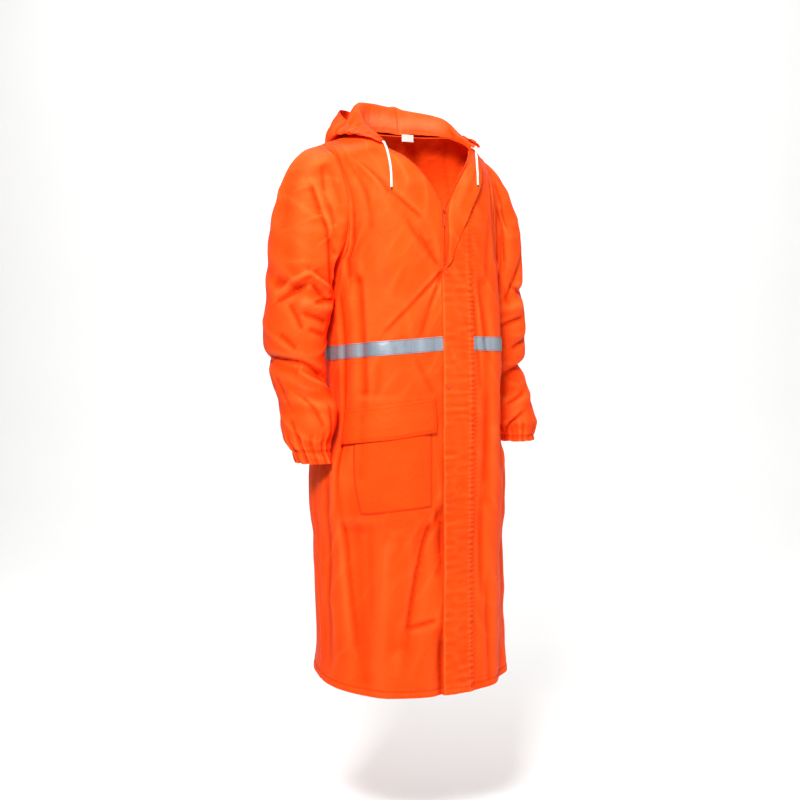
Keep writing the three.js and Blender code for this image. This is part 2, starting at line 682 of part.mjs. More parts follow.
// A sleeve as a closed ring of columns, in rows from the armhole to the end of the cuff
function sleeveSheet(side, frontEdge, backEdge) {
  const ring = [...frontEdge.points, ...backEdge.points.slice(1, -1).reverse()];
  const capEnd = SLEEVE_RINGS[0].z;
  const cap = side < 0 ? CAP_SHAPE.right : CAP_SHAPE.left;
  const rise = side < 0 ? CUFF_RISE.right : CUFF_RISE.left;
  const columns = ring.map((start, k) => {
    const angle = (k / SLEEVE_RING) * 2 * Math.PI;
    const end = ringPoint(side, capEnd, angle);
    const outer = (1 + Math.cos(angle)) / 2;
    const reach = start.distanceTo(end);
    const leave = new THREE.Vector3(side * mix(0.8, cap.out, outer), -0.25 * Math.sin(angle),
      -mix(0.7, cap.down, outer)).normalize();
    const handleA = start.clone().addScaledVector(leave, reach * cap.start);
    const handleB = end.clone().add(new THREE.Vector3(0, 0, reach * cap.end));
    const curve = new THREE.CubicBezierCurve3(start, handleA, handleB, end);
    const points = [];
    for (let j = 0; j < CAP_ROWS; j += 1) {
      const p = curve.getPoint(j / CAP_ROWS);
      if (j > 0) p.x = clearOfBody(side, p.x, p.y, p.z, Math.min(j * 3, SLEEVE_CLEAR));
      points.push(p);
    }
    const cuffEnd = SLEEVE_RINGS[SLEEVE_RINGS.length - 1].z;
    for (let j = 0; j <= ARM_ROWS; j += 1) {
      const z = mix(capEnd, cuffEnd, j / ARM_ROWS);
      const fade = Math.min(Math.max((CUFF_CASING_TOP + 34 - z) / 34, 0), 1);
      const gather = fade * CUFF_GATHER * (k % 2 === 0 ? 1 : -1);
      const p = ringPoint(side, z, angle);
      const ringAt = sleeveRing(side, z);
      const out = new THREE.Vector3(p.x - ringAt.x, p.y - ringAt.y, 0).normalize();
      p.addScaledVector(out, gather);
      p.z += rise * Math.max((CUFF_RISE.from - z) / (CUFF_RISE.from - cuffEnd), 0);
      points.push(p);
    }
    return points;
  });
  const rows = columns[0].map((_, j) => columns.map((points) => points[j]));
  const across = rows.map(() => ring.map((_, k) => (k / SLEEVE_RING) * 360));
  return makeSheet(rows, across, true);
}

// Folds of a sleeve, placed by angle round it
function applySleeveFolds(sheet) {
  const toAcross = (angle) => angle * 1.35;
  const folds = SLEEVE_FOLDS.map((f) => ({
    across: toAcross(f.angle), z: f.z, across2: toAcross(f.angle2), z2: f.z2, width: f.width, rise: f.rise,
  }));
  sheet.rows = sheet.rows.map((row, j) => row.map((p, i) => {
    const angle = sheet.across[j][i] > 200 ? sheet.across[j][i] - 360 : sheet.across[j][i];
    const inner = Math.max(0, Math.abs(Math.abs(angle) - 180) / 45);
    const fade = Math.min(j / 2, 1) * Math.min(inner, 1);
    return p.clone().addScaledVector(sheet.normals[j][i], foldRise(folds, toAcross(angle), p.z) * fade);
  }));
}

// Place on the neck seam, by station from a front corner (0) to the centre back (1)
function neckSeam(front, back, side, at) {
  const points = [];
  const cornerRow = LOWER_ROWS + Math.round(CORNER_UP * ARMHOLE_ROWS);
  for (let j = cornerRow; j < front.rows.length; j += 1) points.push(front.rows[j][0].clone());
  const top = back.rows[back.rows.length - 1];
  const middle = (top.length - 1) / 2;
  for (let i = middle + side * FRONT_COLUMNS; i !== middle - side; i -= side) {
    if (Math.abs(top[i].x) < 106) points.push(top[i].clone());
  }
  const lengths = arcLengths(points);
  return pointAlong(points, lengths, at * lengths[lengths.length - 1]);
}

// Half of the hood, in rows from the neck seam over the standing crest and pouch to the rim
function hoodHalf(front, back, side) {
  const table = side < 0 ? HOOD_RIGHT : HOOD_LEFT;
  const rows = Array.from({ length: HOOD_STEPS + 1 }, () => []);
  for (let i = 0; i <= HOOD_STATIONS; i += 1) {
    const at = i / HOOD_STATIONS;
    const place = (name) => new THREE.Vector3(
      side * column(table, 'at', `${name}X`, at),
      column(table, 'at', `${name}Y`, at),
      column(table, 'at', `${name}Z`, at),
    );
    const seam = neckSeam(front, back, side, at).add(new THREE.Vector3(0, 0, HOOD_SEAM_LIFT));
    const crest = place('crest');
    const low = place('low');
    const rim = place('rim');
    const inner = crest.clone().lerp(low, 0.55);
    inner.addScaledVector(new THREE.Vector3(-side * 6 * (1 - at), -6 * at, 0), 1);
    const outer = low.clone().lerp(rim, 0.5).add(new THREE.Vector3(side * 12 * (1 - at), 18 * at, 0));
    const curve = new THREE.CatmullRomCurve3([seam, crest, inner, low, outer, rim], false, 'centripetal');
    const points = curve.getSpacedPoints(HOOD_STEPS);
    points.forEach((p, j) => rows[j].push(j < 1 ? p : clearOfShoulder(p)));
  }
  return makeSheet(eased(eased(rows)), null);
}

// Evens out a sheet inside its borders and along its last row, clear of the shoulders
function eased(rows) {
  return rows.map((row, j) => row.map((p, i) => {
    if (j < 2 || i === 0 || i === row.length - 1) return p;
    const beside = row[i - 1].clone().add(row[i + 1]);
    if (j === rows.length - 1) return p.clone().lerp(beside.multiplyScalar(0.5), 0.6);
    const around = beside.add(rows[j - 1][i]).add(rows[j + 1][i]);
    return clearOfShoulder(p.clone().lerp(around.multiplyScalar(0.25), 0.6));
  }));
}

// Moves a point of the hood clear of the shoulders and back
function clearOfShoulder(p) {
  const ridgeZ = straight(SHOULDER_LINE, 'x', 'z', Math.abs(p.x));
  const ridgeY = straight(SHOULDER_LINE, 'x', 'y', Math.abs(p.x));
  const face = p.y < ridgeY ? -1 : 1;
  const reach = Math.abs(faceY(face, p.x, -200) - ridgeY);
  const part = Math.min(Math.abs(p.y - ridgeY) / reach, 1);
  const drop = face < 0 ? SHOULDER_DROP_FRONT : SHOULDER_DROP_BACK;
  const topZ = ridgeZ - drop * (1 - Math.sqrt(1 - part ** 2));
  if (Math.abs(p.x) > 200 || p.z > topZ + HOOD_CLEAR) return p;
  const backY = faceY(1, p.x, p.z) + HOOD_CLEAR;
  if (face > 0 && backY - p.y < topZ + HOOD_CLEAR - p.z) return new THREE.Vector3(p.x, backY, p.z);
  return new THREE.Vector3(p.x, p.y, topZ + HOOD_CLEAR);
}

// Storm flap: a strip over the zip that turns back on itself above its top snap. Each row is a
// line of (distance from the centre front, lift off the front) run along the left front.
function flapProfile(z) {
  const turned = z > LAPEL_ROWS[0].z;
  const foldX = turned ? column(LAPEL_ROWS, 'z', 'fold', z) : -7.5;
  const freeX = turned ? column(LAPEL_ROWS, 'z', 'free', z) : FLAP_FREE_X;
  const sewnX = turned ? Math.max(FLAP_SEWN_X, foldX + 26) : FLAP_SEWN_X;
  const open = Math.min(Math.max((z - LAPEL_ROWS[0].z) / 30, 0), 1);
  const gap = LAPEL_GAP * open;
  const reach = Math.max(freeX - foldX, 0);
  return [
    [sewnX, FLAP_SEWN_LIFT],
    [mix(sewnX, foldX, 0.5), FLAP_LIFT],
    [mix(sewnX, foldX, 0.92), FLAP_LIFT],
    [mix(-8.2, foldX - 0.6, open), FLAP_LIFT + gap / 2],
    [mix(-8.8, foldX + 2, open), FLAP_LIFT + gap],
    [mix(-9.4, foldX + Math.max(reach * 0.5, 2.6), open), FLAP_LIFT + gap + 0.6 * open],
    [mix(FLAP_FREE_X, Math.max(freeX, foldX + 3.4), open), FLAP_LIFT + gap + 1.6 * open],
  ];
}

function flapGeometry(front) {
  const topZ = LAPEL_ROWS[LAPEL_ROWS.length - 1].z;
  const heights = [];
  for (let j = 0; j <= 11; j += 1) heights.push(mix(HEM_FRONT + 2, -310, j / 11));
  heights.push(-296, -283, ...LAPEL_ROWS.slice(1).map((row) => row.z), -180, -128, -90, -56);
  heights.sort((a, b) => a - b);
  const half = THIN_WALL / 2;
  const loops = heights.map((z) => {
    const profile = flapProfile(Math.min(z, topZ));
    const outer = [];
    const inner = [];
    profile.forEach(([x, lift], k) => {
      const before = profile[Math.max(k - 1, 0)];
      const after = profile[Math.min(k + 1, profile.length - 1)];
      const along = new THREE.Vector2(after[0] - before[0], after[1] - before[1]).normalize();
      const [nx, ny] = [along.y, -along.x];
      for (const [list, turn] of [[outer, 1], [inner, -1]]) {
        list.push(placeOnFront(front, x + turn * half * nx, lift + half + turn * half * ny, z));
      }
    });
    return [...outer, ...inner.reverse()];
  });
  const count = loops[0].length;
  const positions = loops.flat().flatMap((p) => p.toArray());
  const index = [];
  const quad = (a, b, c, d) => index.push(a, b, c, a, c, d);
  for (let j = 0; j < loops.length - 1; j += 1) {
    for (let i = 0; i < count; i += 1) {
      const k = (i + 1) % count;
      quad(j * count + i, j * count + k, (j + 1) * count + k, (j + 1) * count + i);
    }
  }
  for (const [base, flip] of [[0, true], [(loops.length - 1) * count, false]]) {
    for (let i = 0; i < count / 2 - 1; i += 1) {
      const [a, b] = [base + i, base + i + 1];
      const [c, d] = [base + count - 2 - i, base + count - 1 - i];
      if (flip) quad(a, d, c, b);
      else quad(a, b, c, d);
    }
  }
  return facedOutward(positions, index);
}

// Point off the left front at a distance from the centre front, a lift and a height
function placeOnFront(front, x, lift, z) {
  const base = front.rows.map((row) => row[0].z);
  let j = 0;
  while (j < base.length - 2 && base[j + 1] < z) j += 1;
  const row = front.rows[j];
  let i = 0;
  while (i < row.length - 2 && row[i + 1].x < x) i += 1;
  let u = i + (x - row[i].x) / (row[i + 1].x - row[i].x);
  let v = j;
  for (let k = 0; k < 12; k += 1) {
    v = rowAt(front, u, z);
    const here = onSheet(front, u, v).point.x;
    const ahead = onSheet(front, u + 0.05, v).point.x;
    u += (x - here) / ((ahead - here) / 0.05);
  }
  const place = onSheet(front, u, v);
  return place.point.addScaledVector(place.normal, lift);
}

const materials = {
  cloth: new THREE.MeshStandardMaterial({ color: 0xff5a1e, roughness: 0.55 }),
  tape: new THREE.MeshStandardMaterial({ color: 0xa5afb9, roughness: 0.4, metalness: 0.1 }),
  plastic: new THREE.MeshStandardMaterial({ color: 0xf04c14, roughness: 0.35 }),
  snap: new THREE.MeshStandardMaterial({ color: 0xe84610, roughness: 0.3 }),
  white: new THREE.MeshStandardMaterial({ color: 0xf2f0ec, roughness: 0.8 }),
};

const coat = new THREE.Group();

function addPiece(name, geometry, material) {
  const mesh = new THREE.Mesh(geometry, material);
  mesh.name = name;
  coat.add(mesh);
  return mesh;
}

// Body, sleeves and hood
const frontRight = bodyHalf(-1, -1, RIGHT_OPENING, ARMHOLE_FRONT);
const frontLeft = bodyHalf(-1, 1, LEFT_OPENING, ARMHOLE_FRONT);
const back = backSheet();
const panels = [frontRight, frontLeft, back];
sheetNormals(frontRight, -1);
sheetNormals(frontLeft, 1);
sheetNormals(back, -1);
weldNormals(panels);
unitNormals(panels);
applyFolds(frontRight, FRONT_RIGHT_FOLDS, [-1], 2);
applyFolds(frontLeft, FRONT_LEFT_FOLDS, [-1], 2);
applyFolds(back, BACK_FOLDS, [0, -1], 2);
const sleeves = [-1, 1].map((side) => {
  const front = armholeEdge(side < 0 ? frontRight : frontLeft, FRONT_COLUMNS);
  const rear = armholeEdge(back, side < 0 ? 0 : 2 * FRONT_COLUMNS);
  return sleeveSheet(side, front, rear);
});
sheetNormals(sleeves[0], -1);
sheetNormals(sleeves[1], 1);
unitNormals(sleeves);
sleeves.forEach(applySleeveFolds);
sheetNormals(frontRight, -1);
sheetNormals(frontLeft, 1);
sheetNormals(back, -1);
sheetNormals(sleeves[0], -1);
sheetNormals(sleeves[1], 1);
weldNormals([...panels, ...sleeves]);
unitNormals([...panels, ...sleeves]);

// Both sides of the straight shoulder seam share one normal
for (const side of [-1, 1]) {
  const seam = new THREE.Vector3(side * 82, 32, -28).normalize();
  const up = new THREE.Vector3(0, 0, 1);
  up.addScaledVector(seam, -up.dot(seam)).normalize();
  const front = side < 0 ? frontRight : frontLeft;
  const isSeam = (p) => side * p.x > 107.9 && side * p.x < 190.1;
  for (const sheet of [front, back]) {
    const last = sheet.rows.length - 1;
    sheet.rows[last].forEach((p, i) => {
      if (isSeam(p)) sheet.normals[last][i].copy(up);
    });
  }
  const sleeve = sleeves[side < 0 ? 0 : 1];
  sleeve.normals[0][0].copy(up);
  // At the armpit the body and sleeve hang side by side, so the walls part along a level line
  const rear = side < 0 ? 0 : 2 * FRONT_COLUMNS;
  for (const n of [front.normals[LOWER_ROWS][FRONT_COLUMNS], back.normals[LOWER_ROWS][rear],
    sleeve.normals[0][ARMHOLE_ROWS]]) n.set(0, 0, -1);
}

addPiece('front_right', wallGeometry(frontRight, WALL), materials.cloth);
addPiece('front_left', wallGeometry(frontLeft, WALL), materials.cloth);
addPiece('back', wallGeometry(back, WALL), materials.cloth);
addPiece('sleeve_right', wallGeometry(sleeves[0], WALL), materials.cloth);
addPiece('sleeve_left', wallGeometry(sleeves[1], WALL), materials.cloth);

const hoods = [hoodHalf(frontRight, back, -1), hoodHalf(frontLeft, back, 1)];
sheetNormals(hoods[0], 1);
sheetNormals(hoods[1], -1);
weldNormals(hoods);
unitNormals(hoods);
addPiece('hood_right', wallGeometry(hoods[0], THIN_WALL), materials.cloth);
addPiece('hood_left', wallGeometry(hoods[1], THIN_WALL), materials.cloth);

addPiece('storm_flap', flapGeometry(frontLeft), materials.cloth);

// Pocket and pocket flap on the right front
function frontRange(sheet, z, inner, outer) {
  const row = Math.round(rowAt(sheet, 3, z));
  return [columnAt(sheet, row, inner), columnAt(sheet, row, outer)];
}
const [pocketFrom, pocketTo] = frontRange(frontRight, -690, POCKET.inner, POCKET.outer);
const pocketLift = LIE_GAP + THIN_WALL + 1;
addPiece('pocket', wallGeometry(pieceOn(frontRight, pocketFrom, pocketTo,
  (part) => mix(POCKET.bottomInner, POCKET.bottomOuter, part), () => POCKET.topZ, 5,
  pocketLift, POCKET.lean), THIN_WALL), materials.cloth);
const [flapFrom, flapTo] = frontRange(frontRight, -580, POCKET_FLAP.inner, POCKET_FLAP.outer);
const pocketFlapTop = (part) => mix(POCKET_FLAP.topInner, POCKET_FLAP.topOuter, part);
addPiece('pocket_flap', wallGeometry(pieceOn(frontRight, flapFrom, flapTo,
  (part) => pocketFlapTop(part) - POCKET_FLAP.drop, pocketFlapTop, 2,
  pocketLift + THIN_WALL + 1), THIN_WALL), materials.cloth);

// Reflective tape round the body
function tapeOn(sheet, from, to, zAt) {
  return wallGeometry(pieceOn(sheet, from, to, (part) => zAt(part) - TAPE_WIDTH / 2,
    (part) => zAt(part) + TAPE_WIDTH / 2, 1, TAPE_LIFT), 1);
}
const tapeRow = Math.round(rowAt(frontRight, 3, TAPE_Z.centre));
addPiece('tape_front_right', tapeOn(frontRight, columnAt(frontRight, tapeRow, 5), FRONT_COLUMNS,
  (part) => mix(TAPE_Z.centre, TAPE_Z.rightSide, part)), materials.tape);
addPiece('tape_front_left', tapeOn(frontLeft, columnAt(frontLeft, tapeRow, 63), FRONT_COLUMNS,
  (part) => mix(TAPE_Z.centre, TAPE_Z.leftSide, part)), materials.tape);
addPiece('tape_back', tapeOn(back, 0, 2 * FRONT_COLUMNS,
  (part) => mix(TAPE_Z.rightSide, TAPE_Z.leftSide, part)), materials.tape);

// Zip: a tape under each front's edge, from the hem to the top of the opening
function zipTape(sheet) {
  const cornerRow = LOWER_ROWS + Math.round(CORNER_UP * ARMHOLE_ROWS);
  const rows = [];
  const normals = [];
  for (let j = 0; j <= cornerRow; j += 1) {
    const edge = sheet.rows[j][0];
    const inward = new THREE.Vector3().subVectors(sheet.rows[j][1], edge).normalize();
    const n = sheet.normals[j][0];
    const depth = -(WALL + ZIP_TAPE_GAP);
    rows.push([-ZIP_TAPE_PAST, ZIP_TAPE_WIDTH].map((reach) => edge.clone()
      .addScaledVector(inward, reach).addScaledVector(n, depth - (reach > 0 ? 0.6 : 0))));
    normals.push([n.clone(), n.clone()]);
  }
  return { rows, normals, closed: false };
}
addPiece('zip_tape_right', wallGeometry(zipTape(frontRight), 1), materials.plastic);
addPiece('zip_tape_left', wallGeometry(zipTape(frontLeft), 1), materials.plastic);

// Zip slider: a body between the front edges with a bridge that carries the pull tab
const wasm = await Module();
wasm.setup();

function toSolid(geometry) {
  const plain = geometry.clone();
  plain.deleteAttribute('normal');
  plain.deleteAttribute('uv');
  const merged = mergeVertices(plain);
  return new wasm.Manifold(new wasm.Mesh({
    numProp: 3,
    vertProperties: new Float32Array(merged.attributes.position.array),
    triVerts: new Uint32Array(merged.index.array),
  }));
}

function fromSolid(solid) {
  const { vertProperties, triVerts } = solid.getMesh();
  const geometry = new THREE.BufferGeometry();
  geometry.setAttribute('position', new THREE.BufferAttribute(vertProperties, 3));
  geometry.setIndex(new THREE.BufferAttribute(triVerts, 1));
  return geometry;
}

// Flat shape given as corners, extruded by a thickness centred on its plane
function plate(shape, thickness) {
  const geometry = new THREE.ExtrudeGeometry(shape, { depth: thickness, bevelEnabled: false, curveSegments: 5 });
  return geometry.translate(0, 0, -thickness / 2);
}

function shapeOf(corners) {
  return new THREE.Shape(corners.map(([x, y]) => new THREE.Vector2(x, y)));
}

const frontY = frontRight.rows[LOWER_ROWS + 5][0].y;
const slider = { z: SLIDER_Z, bodyBack: frontY + 1.5, bodyFront: frontY - 2.4 };
const sliderBody = plate(shapeOf([[-4.2, 6], [4.2, 6], [3.4, -6], [-3.4, -6]]), 1.6)
  .rotateX(Math.PI / 2).translate(0, slider.bodyFront + 0.8, slider.z);
const sliderNeck = new THREE.BoxGeometry(4, slider.bodyBack - slider.bodyFront - 0.8, 9)
  .translate(0, (slider.bodyBack + slider.bodyFront + 0.8) / 2, slider.z);
const bridgeShape = shapeOf([[0.2, 4.5], [-1.8, 3.6], [-3.6, 2.4], [-3.6, -2.4], [-1.8, -3.6], [0.2, -4.5]]);
bridgeShape.holes.push(new THREE.Path([[-0.1, 2.4], [-0.1, -2.4], [-2.5, -1.8], [-2.5, 1.8]]
  .map(([x, y]) => new THREE.Vector2(x, y))));
const bridge = plate(bridgeShape, BRIDGE_WIDTH).rotateX(Math.PI / 2).rotateZ(Math.PI / 2)
  .translate(0, slider.bodyFront, slider.z);
addPiece('zip_slider', fromSolid(toSolid(sliderBody).add(toSolid(sliderNeck)).add(toSolid(bridge))),
  materials.plastic);

// Pull tab, hung in the bridge on an eye
const pullShape = shapeOf(PULL.outline);
const eyeHalf = BRIDGE_WIDTH / 2 + 0.5;
pullShape.holes.push(shapeOf([[-eyeHalf, PULL.eyeTop], [-eyeHalf, PULL.eyeBottom],
  [eyeHalf, PULL.eyeBottom], [eyeHalf, PULL.eyeTop]]));
const pull = addPiece('zip_pull', plate(pullShape, PULL.thickness).rotateX(Math.PI / 2), materials.plastic);
pull.position.set(0, slider.bodyFront - PULL.standOff, slider.z - PULL.hang);

// Snap caps down the storm flap
SNAP_HEIGHTS.forEach((z, k) => {
  const profile = [[0, 0], [SNAP_RADIUS * 0.8, 0], [SNAP_RADIUS, 0.6], [SNAP_RADIUS * 0.72, 1.7], [0, 2.1]]
    .map(([x, y]) => new THREE.Vector2(x, y));
  const cap = new THREE.LatheGeometry(profile, 12).rotateX(Math.PI);
  const seat = placeOnFront(frontLeft, SNAP_X, FLAP_LIFT + THIN_WALL + 0.5, z);
  const mesh = addPiece(`snap_${k + 1}`, cap, materials.snap);
  mesh.position.copy(seat);
});

// Neck label, hanging inside the back neck
const labelSeat = onSheet(back, columnAt(back, back.rows.length - 1, LABEL.across), back.rows.length - 1).point;
const label = addPiece('neck_label', new THREE.BoxGeometry(LABEL.width, LABEL.thickness, LABEL.drop),
  materials.white);
label.position.set(labelSeat.x, labelSeat.y - 2.4, labelSeat.z - LABEL.drop / 2 + 4);

// Drawcords, out of the ends of the hood's casing
function cordGeometry(route) {
  const curve = new THREE.CatmullRomCurve3(route.map((p) => new THREE.Vector3(...p)));
  const section = new THREE.Shape();
  section.absarc(0, 0, CORD_RADIUS, 0, 2 * Math.PI, false);
  return new THREE.ExtrudeGeometry(section, { steps: 10, curveSegments: 8, extrudePath: curve, bevelEnabled: false });
}
addPiece('drawcord_right', cordGeometry(CORD_RIGHT_ROUTE), materials.white);
addPiece('drawcord_left', cordGeometry(CORD_LEFT_ROUTE), materials.white);

export default coat;
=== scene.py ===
"""Hooded raincoat of coated cloth: the looks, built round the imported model."""

import math
from functools import cache

import bmesh
import bpy
import numpy as np
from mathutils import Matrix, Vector


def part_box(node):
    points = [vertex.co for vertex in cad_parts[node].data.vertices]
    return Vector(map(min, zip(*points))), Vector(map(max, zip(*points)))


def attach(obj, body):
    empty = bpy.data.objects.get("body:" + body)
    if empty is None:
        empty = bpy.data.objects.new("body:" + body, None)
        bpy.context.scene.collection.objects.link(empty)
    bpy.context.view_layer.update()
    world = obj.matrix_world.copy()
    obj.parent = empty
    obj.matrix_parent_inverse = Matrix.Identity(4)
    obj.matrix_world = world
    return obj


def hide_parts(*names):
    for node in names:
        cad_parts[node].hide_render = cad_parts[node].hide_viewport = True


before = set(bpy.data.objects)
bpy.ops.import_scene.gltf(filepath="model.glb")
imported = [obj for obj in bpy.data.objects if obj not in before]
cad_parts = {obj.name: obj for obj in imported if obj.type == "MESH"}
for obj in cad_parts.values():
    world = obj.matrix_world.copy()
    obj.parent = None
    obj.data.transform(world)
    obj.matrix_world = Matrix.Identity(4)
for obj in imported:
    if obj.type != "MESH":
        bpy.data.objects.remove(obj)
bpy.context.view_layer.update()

bl_info = {
    "name": "Hooded Raincoat",
    "version": (1, 0, 0),
    "blender": (4, 5, 0),
    "location": "View3D > Sidebar > Raincoat",
    "description": "Builds a hooded raincoat of coated cloth, piece by piece",
    "category": "Add Mesh",
}

# The form is worked out in millimetres and made in metres
MM = 0.001
COAT = "coat"

WALL = 2.0
THIN_WALL = 1.2
TAPE_WALL = 0.8
LABEL_WALL = 0.6
HEM_FRONT = -1165
HEM_RISE_SIDE = 24
HEM_RISE_BACK = 50
ARMPIT_Z = -255
SHOULDER_DROP = {-1: 150, 1: 130}
FRONT_EDGE_X = 3
LOWER_ROWS = 12
ARMHOLE_ROWS = 12
FRONT_COLUMNS = 10
SLEEVE_RING = 2 * ARMHOLE_ROWS
CAP_ROWS = 8
ARM_ROWS = 15

# Fine steps between the form's own rows and columns
LOWER_GAP = 76
UPPER_GAP = 24
HEM_FINE = 34
LOWER_FINE = 16
UPPER_FINE = 5
COLUMN_FINE = 7
CAP_FINE = 8
ARM_FINE = 6
# Edges sharper than these angles are shaded as edges
SHARP_CLOTH = 55
SHARP_HARD = 60
HOOD_FINE = (9, 7)


def rows(names, *values):
    """A table with named columns and a row for each section or fold."""
    return {name: np.array([row[k] for row in values], float) for k, name in enumerate(names.split())}


BODY = rows(
    "z half front back seam_y shift square",
    (-1190, 218, -166, 160, 4, 4, 2.3),
    (-1080, 215, -163, 158, 4, 4, 2.3),
    (-960, 214, -162, 157, 6, 1, 2.4),
    (-830, 213, -163, 156, 8, -2, 2.6),
    (-710, 216, -165, 156, 10, -5, 2.9),
    (-620, 186, -166, 153, 12, -2, 3.7),
    (-520, 183, -166, 151, 14, 1, 3.7),
    (-430, 183, -164, 150, 16, 1, 3.6),
    (-330, 185, -160, 149, 18, 0, 3.3),
    (-255, 187, -155, 148, 20, 0, 3.0),
    (-150, 188, -150, 146, 30, 0, 2.9),
    (-60, 193, -142, 146, 40, 0, 2.8),
    (60, 198, -136, 146, 46, 0, 2.8),
)
SHOULDER = rows("x z y", (0, 47, -26), (60, 42, -6), (108, 31, 14), (190, 3, 46))
ARMHOLE_FRONT = rows(
    "up x z",
    (0, 187, -255), (0.083, 186.6, -250), (0.167, 184.6, -237), (0.25, 182, -219),
    (0.5, 178, -150), (0.75, 183, -69), (1, 190, 3),
)
ARMHOLE_BACK = rows(
    "up x z",
    (0, 187, -255), (0.083, 186.4, -250), (0.167, 184, -236), (0.25, 181, -217),
    (0.5, 177, -145), (0.75, 182, -64), (1, 190, 3),
)
CORNER_UP = 10 / ARMHOLE_ROWS
OPENING = {
    -1: rows("up x z", (0, 3, -255), (0.42, 3, -152), (0.54, 16, -116), (0.66, 40, -78),
             (0.75, 76, -38), (CORNER_UP, 107, -14), (1, 108, 31)),
    1: rows("up x z", (0, 3, -255), (0.42, 4, -152), (0.54, 20, -116), (0.66, 46, -78),
            (0.75, 80, -38), (CORNER_UP, 107, -8), (1, 108, 31)),
}
BACK_NECK_Z = 33

# Large folds, by the distance round from the centre front or back and the height. Edge 2 is a
# round fold, and less is a sharper one. Skew leans a fold to one side.
FOLD_COLUMNS = "across z across2 z2 width rise edge skew"
FRONT_RIGHT_FOLDS = rows(
    FOLD_COLUMNS,
    (196, -300, 186, -700, 16, -10, 2, 0),
    (205, -700, 178, -1120, 24, -11, 2, 0),
    (40, -800, 92, -1050, 26, -8, 2, 0),
    (8, -790, 10, -900, 20, -7, 2, 0),
    (8, -1040, 8, -1170, 22, -8, 2, 0),
    (130, -860, 140, -1170, 30, 6, 2, 0),
    (150, -70, 60, -190, 20, -3, 2, 0),
    (30, -220, 10, -280, 12, -3, 2, 0),
)
FRONT_LEFT_FOLDS = rows(
    FOLD_COLUMNS,
    (96, -300, 100, -760, 16, -4, 2, 0),
    (118, -620, 124, -1170, 24, 6, 2, 0),
    (190, -300, 192, -640, 18, -8, 2, 0),
    (196, -720, 180, -1150, 26, -9, 2, 0),
    (150, -90, 158, -240, 14, -4, 2, 0),
)
BACK_FOLDS = rows(
    FOLD_COLUMNS,
    (-60, -560, -84, -1120, 30, -10, 2, 0),
    (70, -480, 62, -1120, 28, -9, 2, 0),
    (5, -700, -8, -1120, 30, 7, 2, 0),
    (-150, -300, -160, -1100, 26, -9, 2, 0),
    (158, -320, 150, -1100, 26, -9, 2, 0),
    (-120, -80, -150, -230, 16, -5, 2, 0),
    (122, -80, 150, -230, 16, -5, 2, 0),
)

# Finer creases of each piece
FRONT_RIGHT_CREASES = rows(
    FOLD_COLUMNS,
    (2, -276, 60, -330, 6, -3.0, 1.2, 0.4),
    (60, -330, 136, -404, 9, -2.0, 1.3, 0.4),
    (2, -280, 34, -350, 5, -2.6, 1.2, -0.3),
    (34, -350, 56, -410, 8, -1.6, 1.3, -0.3),
    (54, -200, 12, -262, 7, -2.4, 1.2, 0.3),
    (84, -170, 30, -250, 9, -1.8, 1.4, 0),
    (132, -48, 112, -112, 9, -2.4, 1.4, 0.3),
    (104, -112, 52, -164, 8, -2.0, 1.3, -0.3),
    (178, -60, 168, -190, 14, -2.6, 1.6, 0),
    (236, -150, 226, -290, 12, -5.0, 1.4, 0.4),
    (262, -180, 246, -250, 7, -3.0, 1.2, 0),
    (262, -330, 258, -640, 12, -5.0, 1.4, 0.3),
    (256, -640, 196, -1060, 14, -5.0, 1.4, 0.4),
    (282, -700, 268, -1100, 12, -3.0, 1.5, 0),
    (34, -804, 62, -900, 12, -4.5, 1.3, 0.5),
    (62, -900, 82, -1022, 14, -5.0, 1.3, 0.5),
    (82, -1022, 20, -1006, 8, -3.0, 1.2, 0),
    (4, -800, 4, -895, 9, -3.6, 1.4, 0),
    (4, -1050, 4, -1168, 9, -3.6, 1.4, 0),
    (96, -1000, 110, -1120, 16, 2.4, 2, 0),
    (168, -800, 160, -1000, 18, -2.6, 1.6, 0),
    (150, -470, 158, -560, 14, -1.6, 1.8, 0),
    (70, -460, 30, -530, 12, -1.6, 1.6, 0),
)
FRONT_LEFT_CREASES = rows(
    FOLD_COLUMNS,
    (70, -330, 82, -520, 8, -2.6, 1.4, 0.3),
    (88, -300, 110, -470, 10, -2.4, 1.5, 0),
    (104, -540, 96, -720, 12, -2.6, 1.5, 0),
    (86, -760, 92, -960, 12, -2.8, 1.5, 0.3),
    (104, -940, 112, -1150, 14, -3.4, 1.5, -0.3),
    (150, -60, 172, -170, 9, -3.4, 1.3, 0.3),
    (184, -90, 180, -240, 9, -4.2, 1.3, 0),
    (128, -160, 108, -300, 12, -2.2, 1.5, 0),
    (164, -500, 158, -700, 14, -3.0, 1.6, 0),
    (206, -640, 214, -1080, 14, -4.0, 1.6, 0),
    (260, -300, 256, -600, 14, -4.0, 1.6, 0),
)
BACK_CREASES = rows(
    FOLD_COLUMNS,
    (-20, -150, -70, -330, 16, -2.6, 1.6, 0.2),
    (26, -160, 84, -360, 16, -2.4, 1.6, 0.2),
    (-216, -120, -170, -290, 12, -4.0, 1.4, 0.3),
    (218, -110, 176, -300, 12, -4.2, 1.4, -0.3),
    (-110, -430, -60, -640, 14, -2.6, 1.5, 0),
    (120, -460, 84, -700, 14, -2.6, 1.5, 0),
    (-20, -760, -34, -1100, 18, -3.4, 1.6, 0),
    (34, -820, 40, -1110, 16, -3.2, 1.6, 0),
    (-120, -760, -128, -1110, 18, 3.0, 1.8, 0),
    (118, -780, 112, -1110, 18, 3.0, 1.8, 0),
    (-232, -420, -236, -1090, 16, -4.0, 1.6, 0),
    (232, -420, 236, -1090, 16, -4.0, 1.6, 0),
)

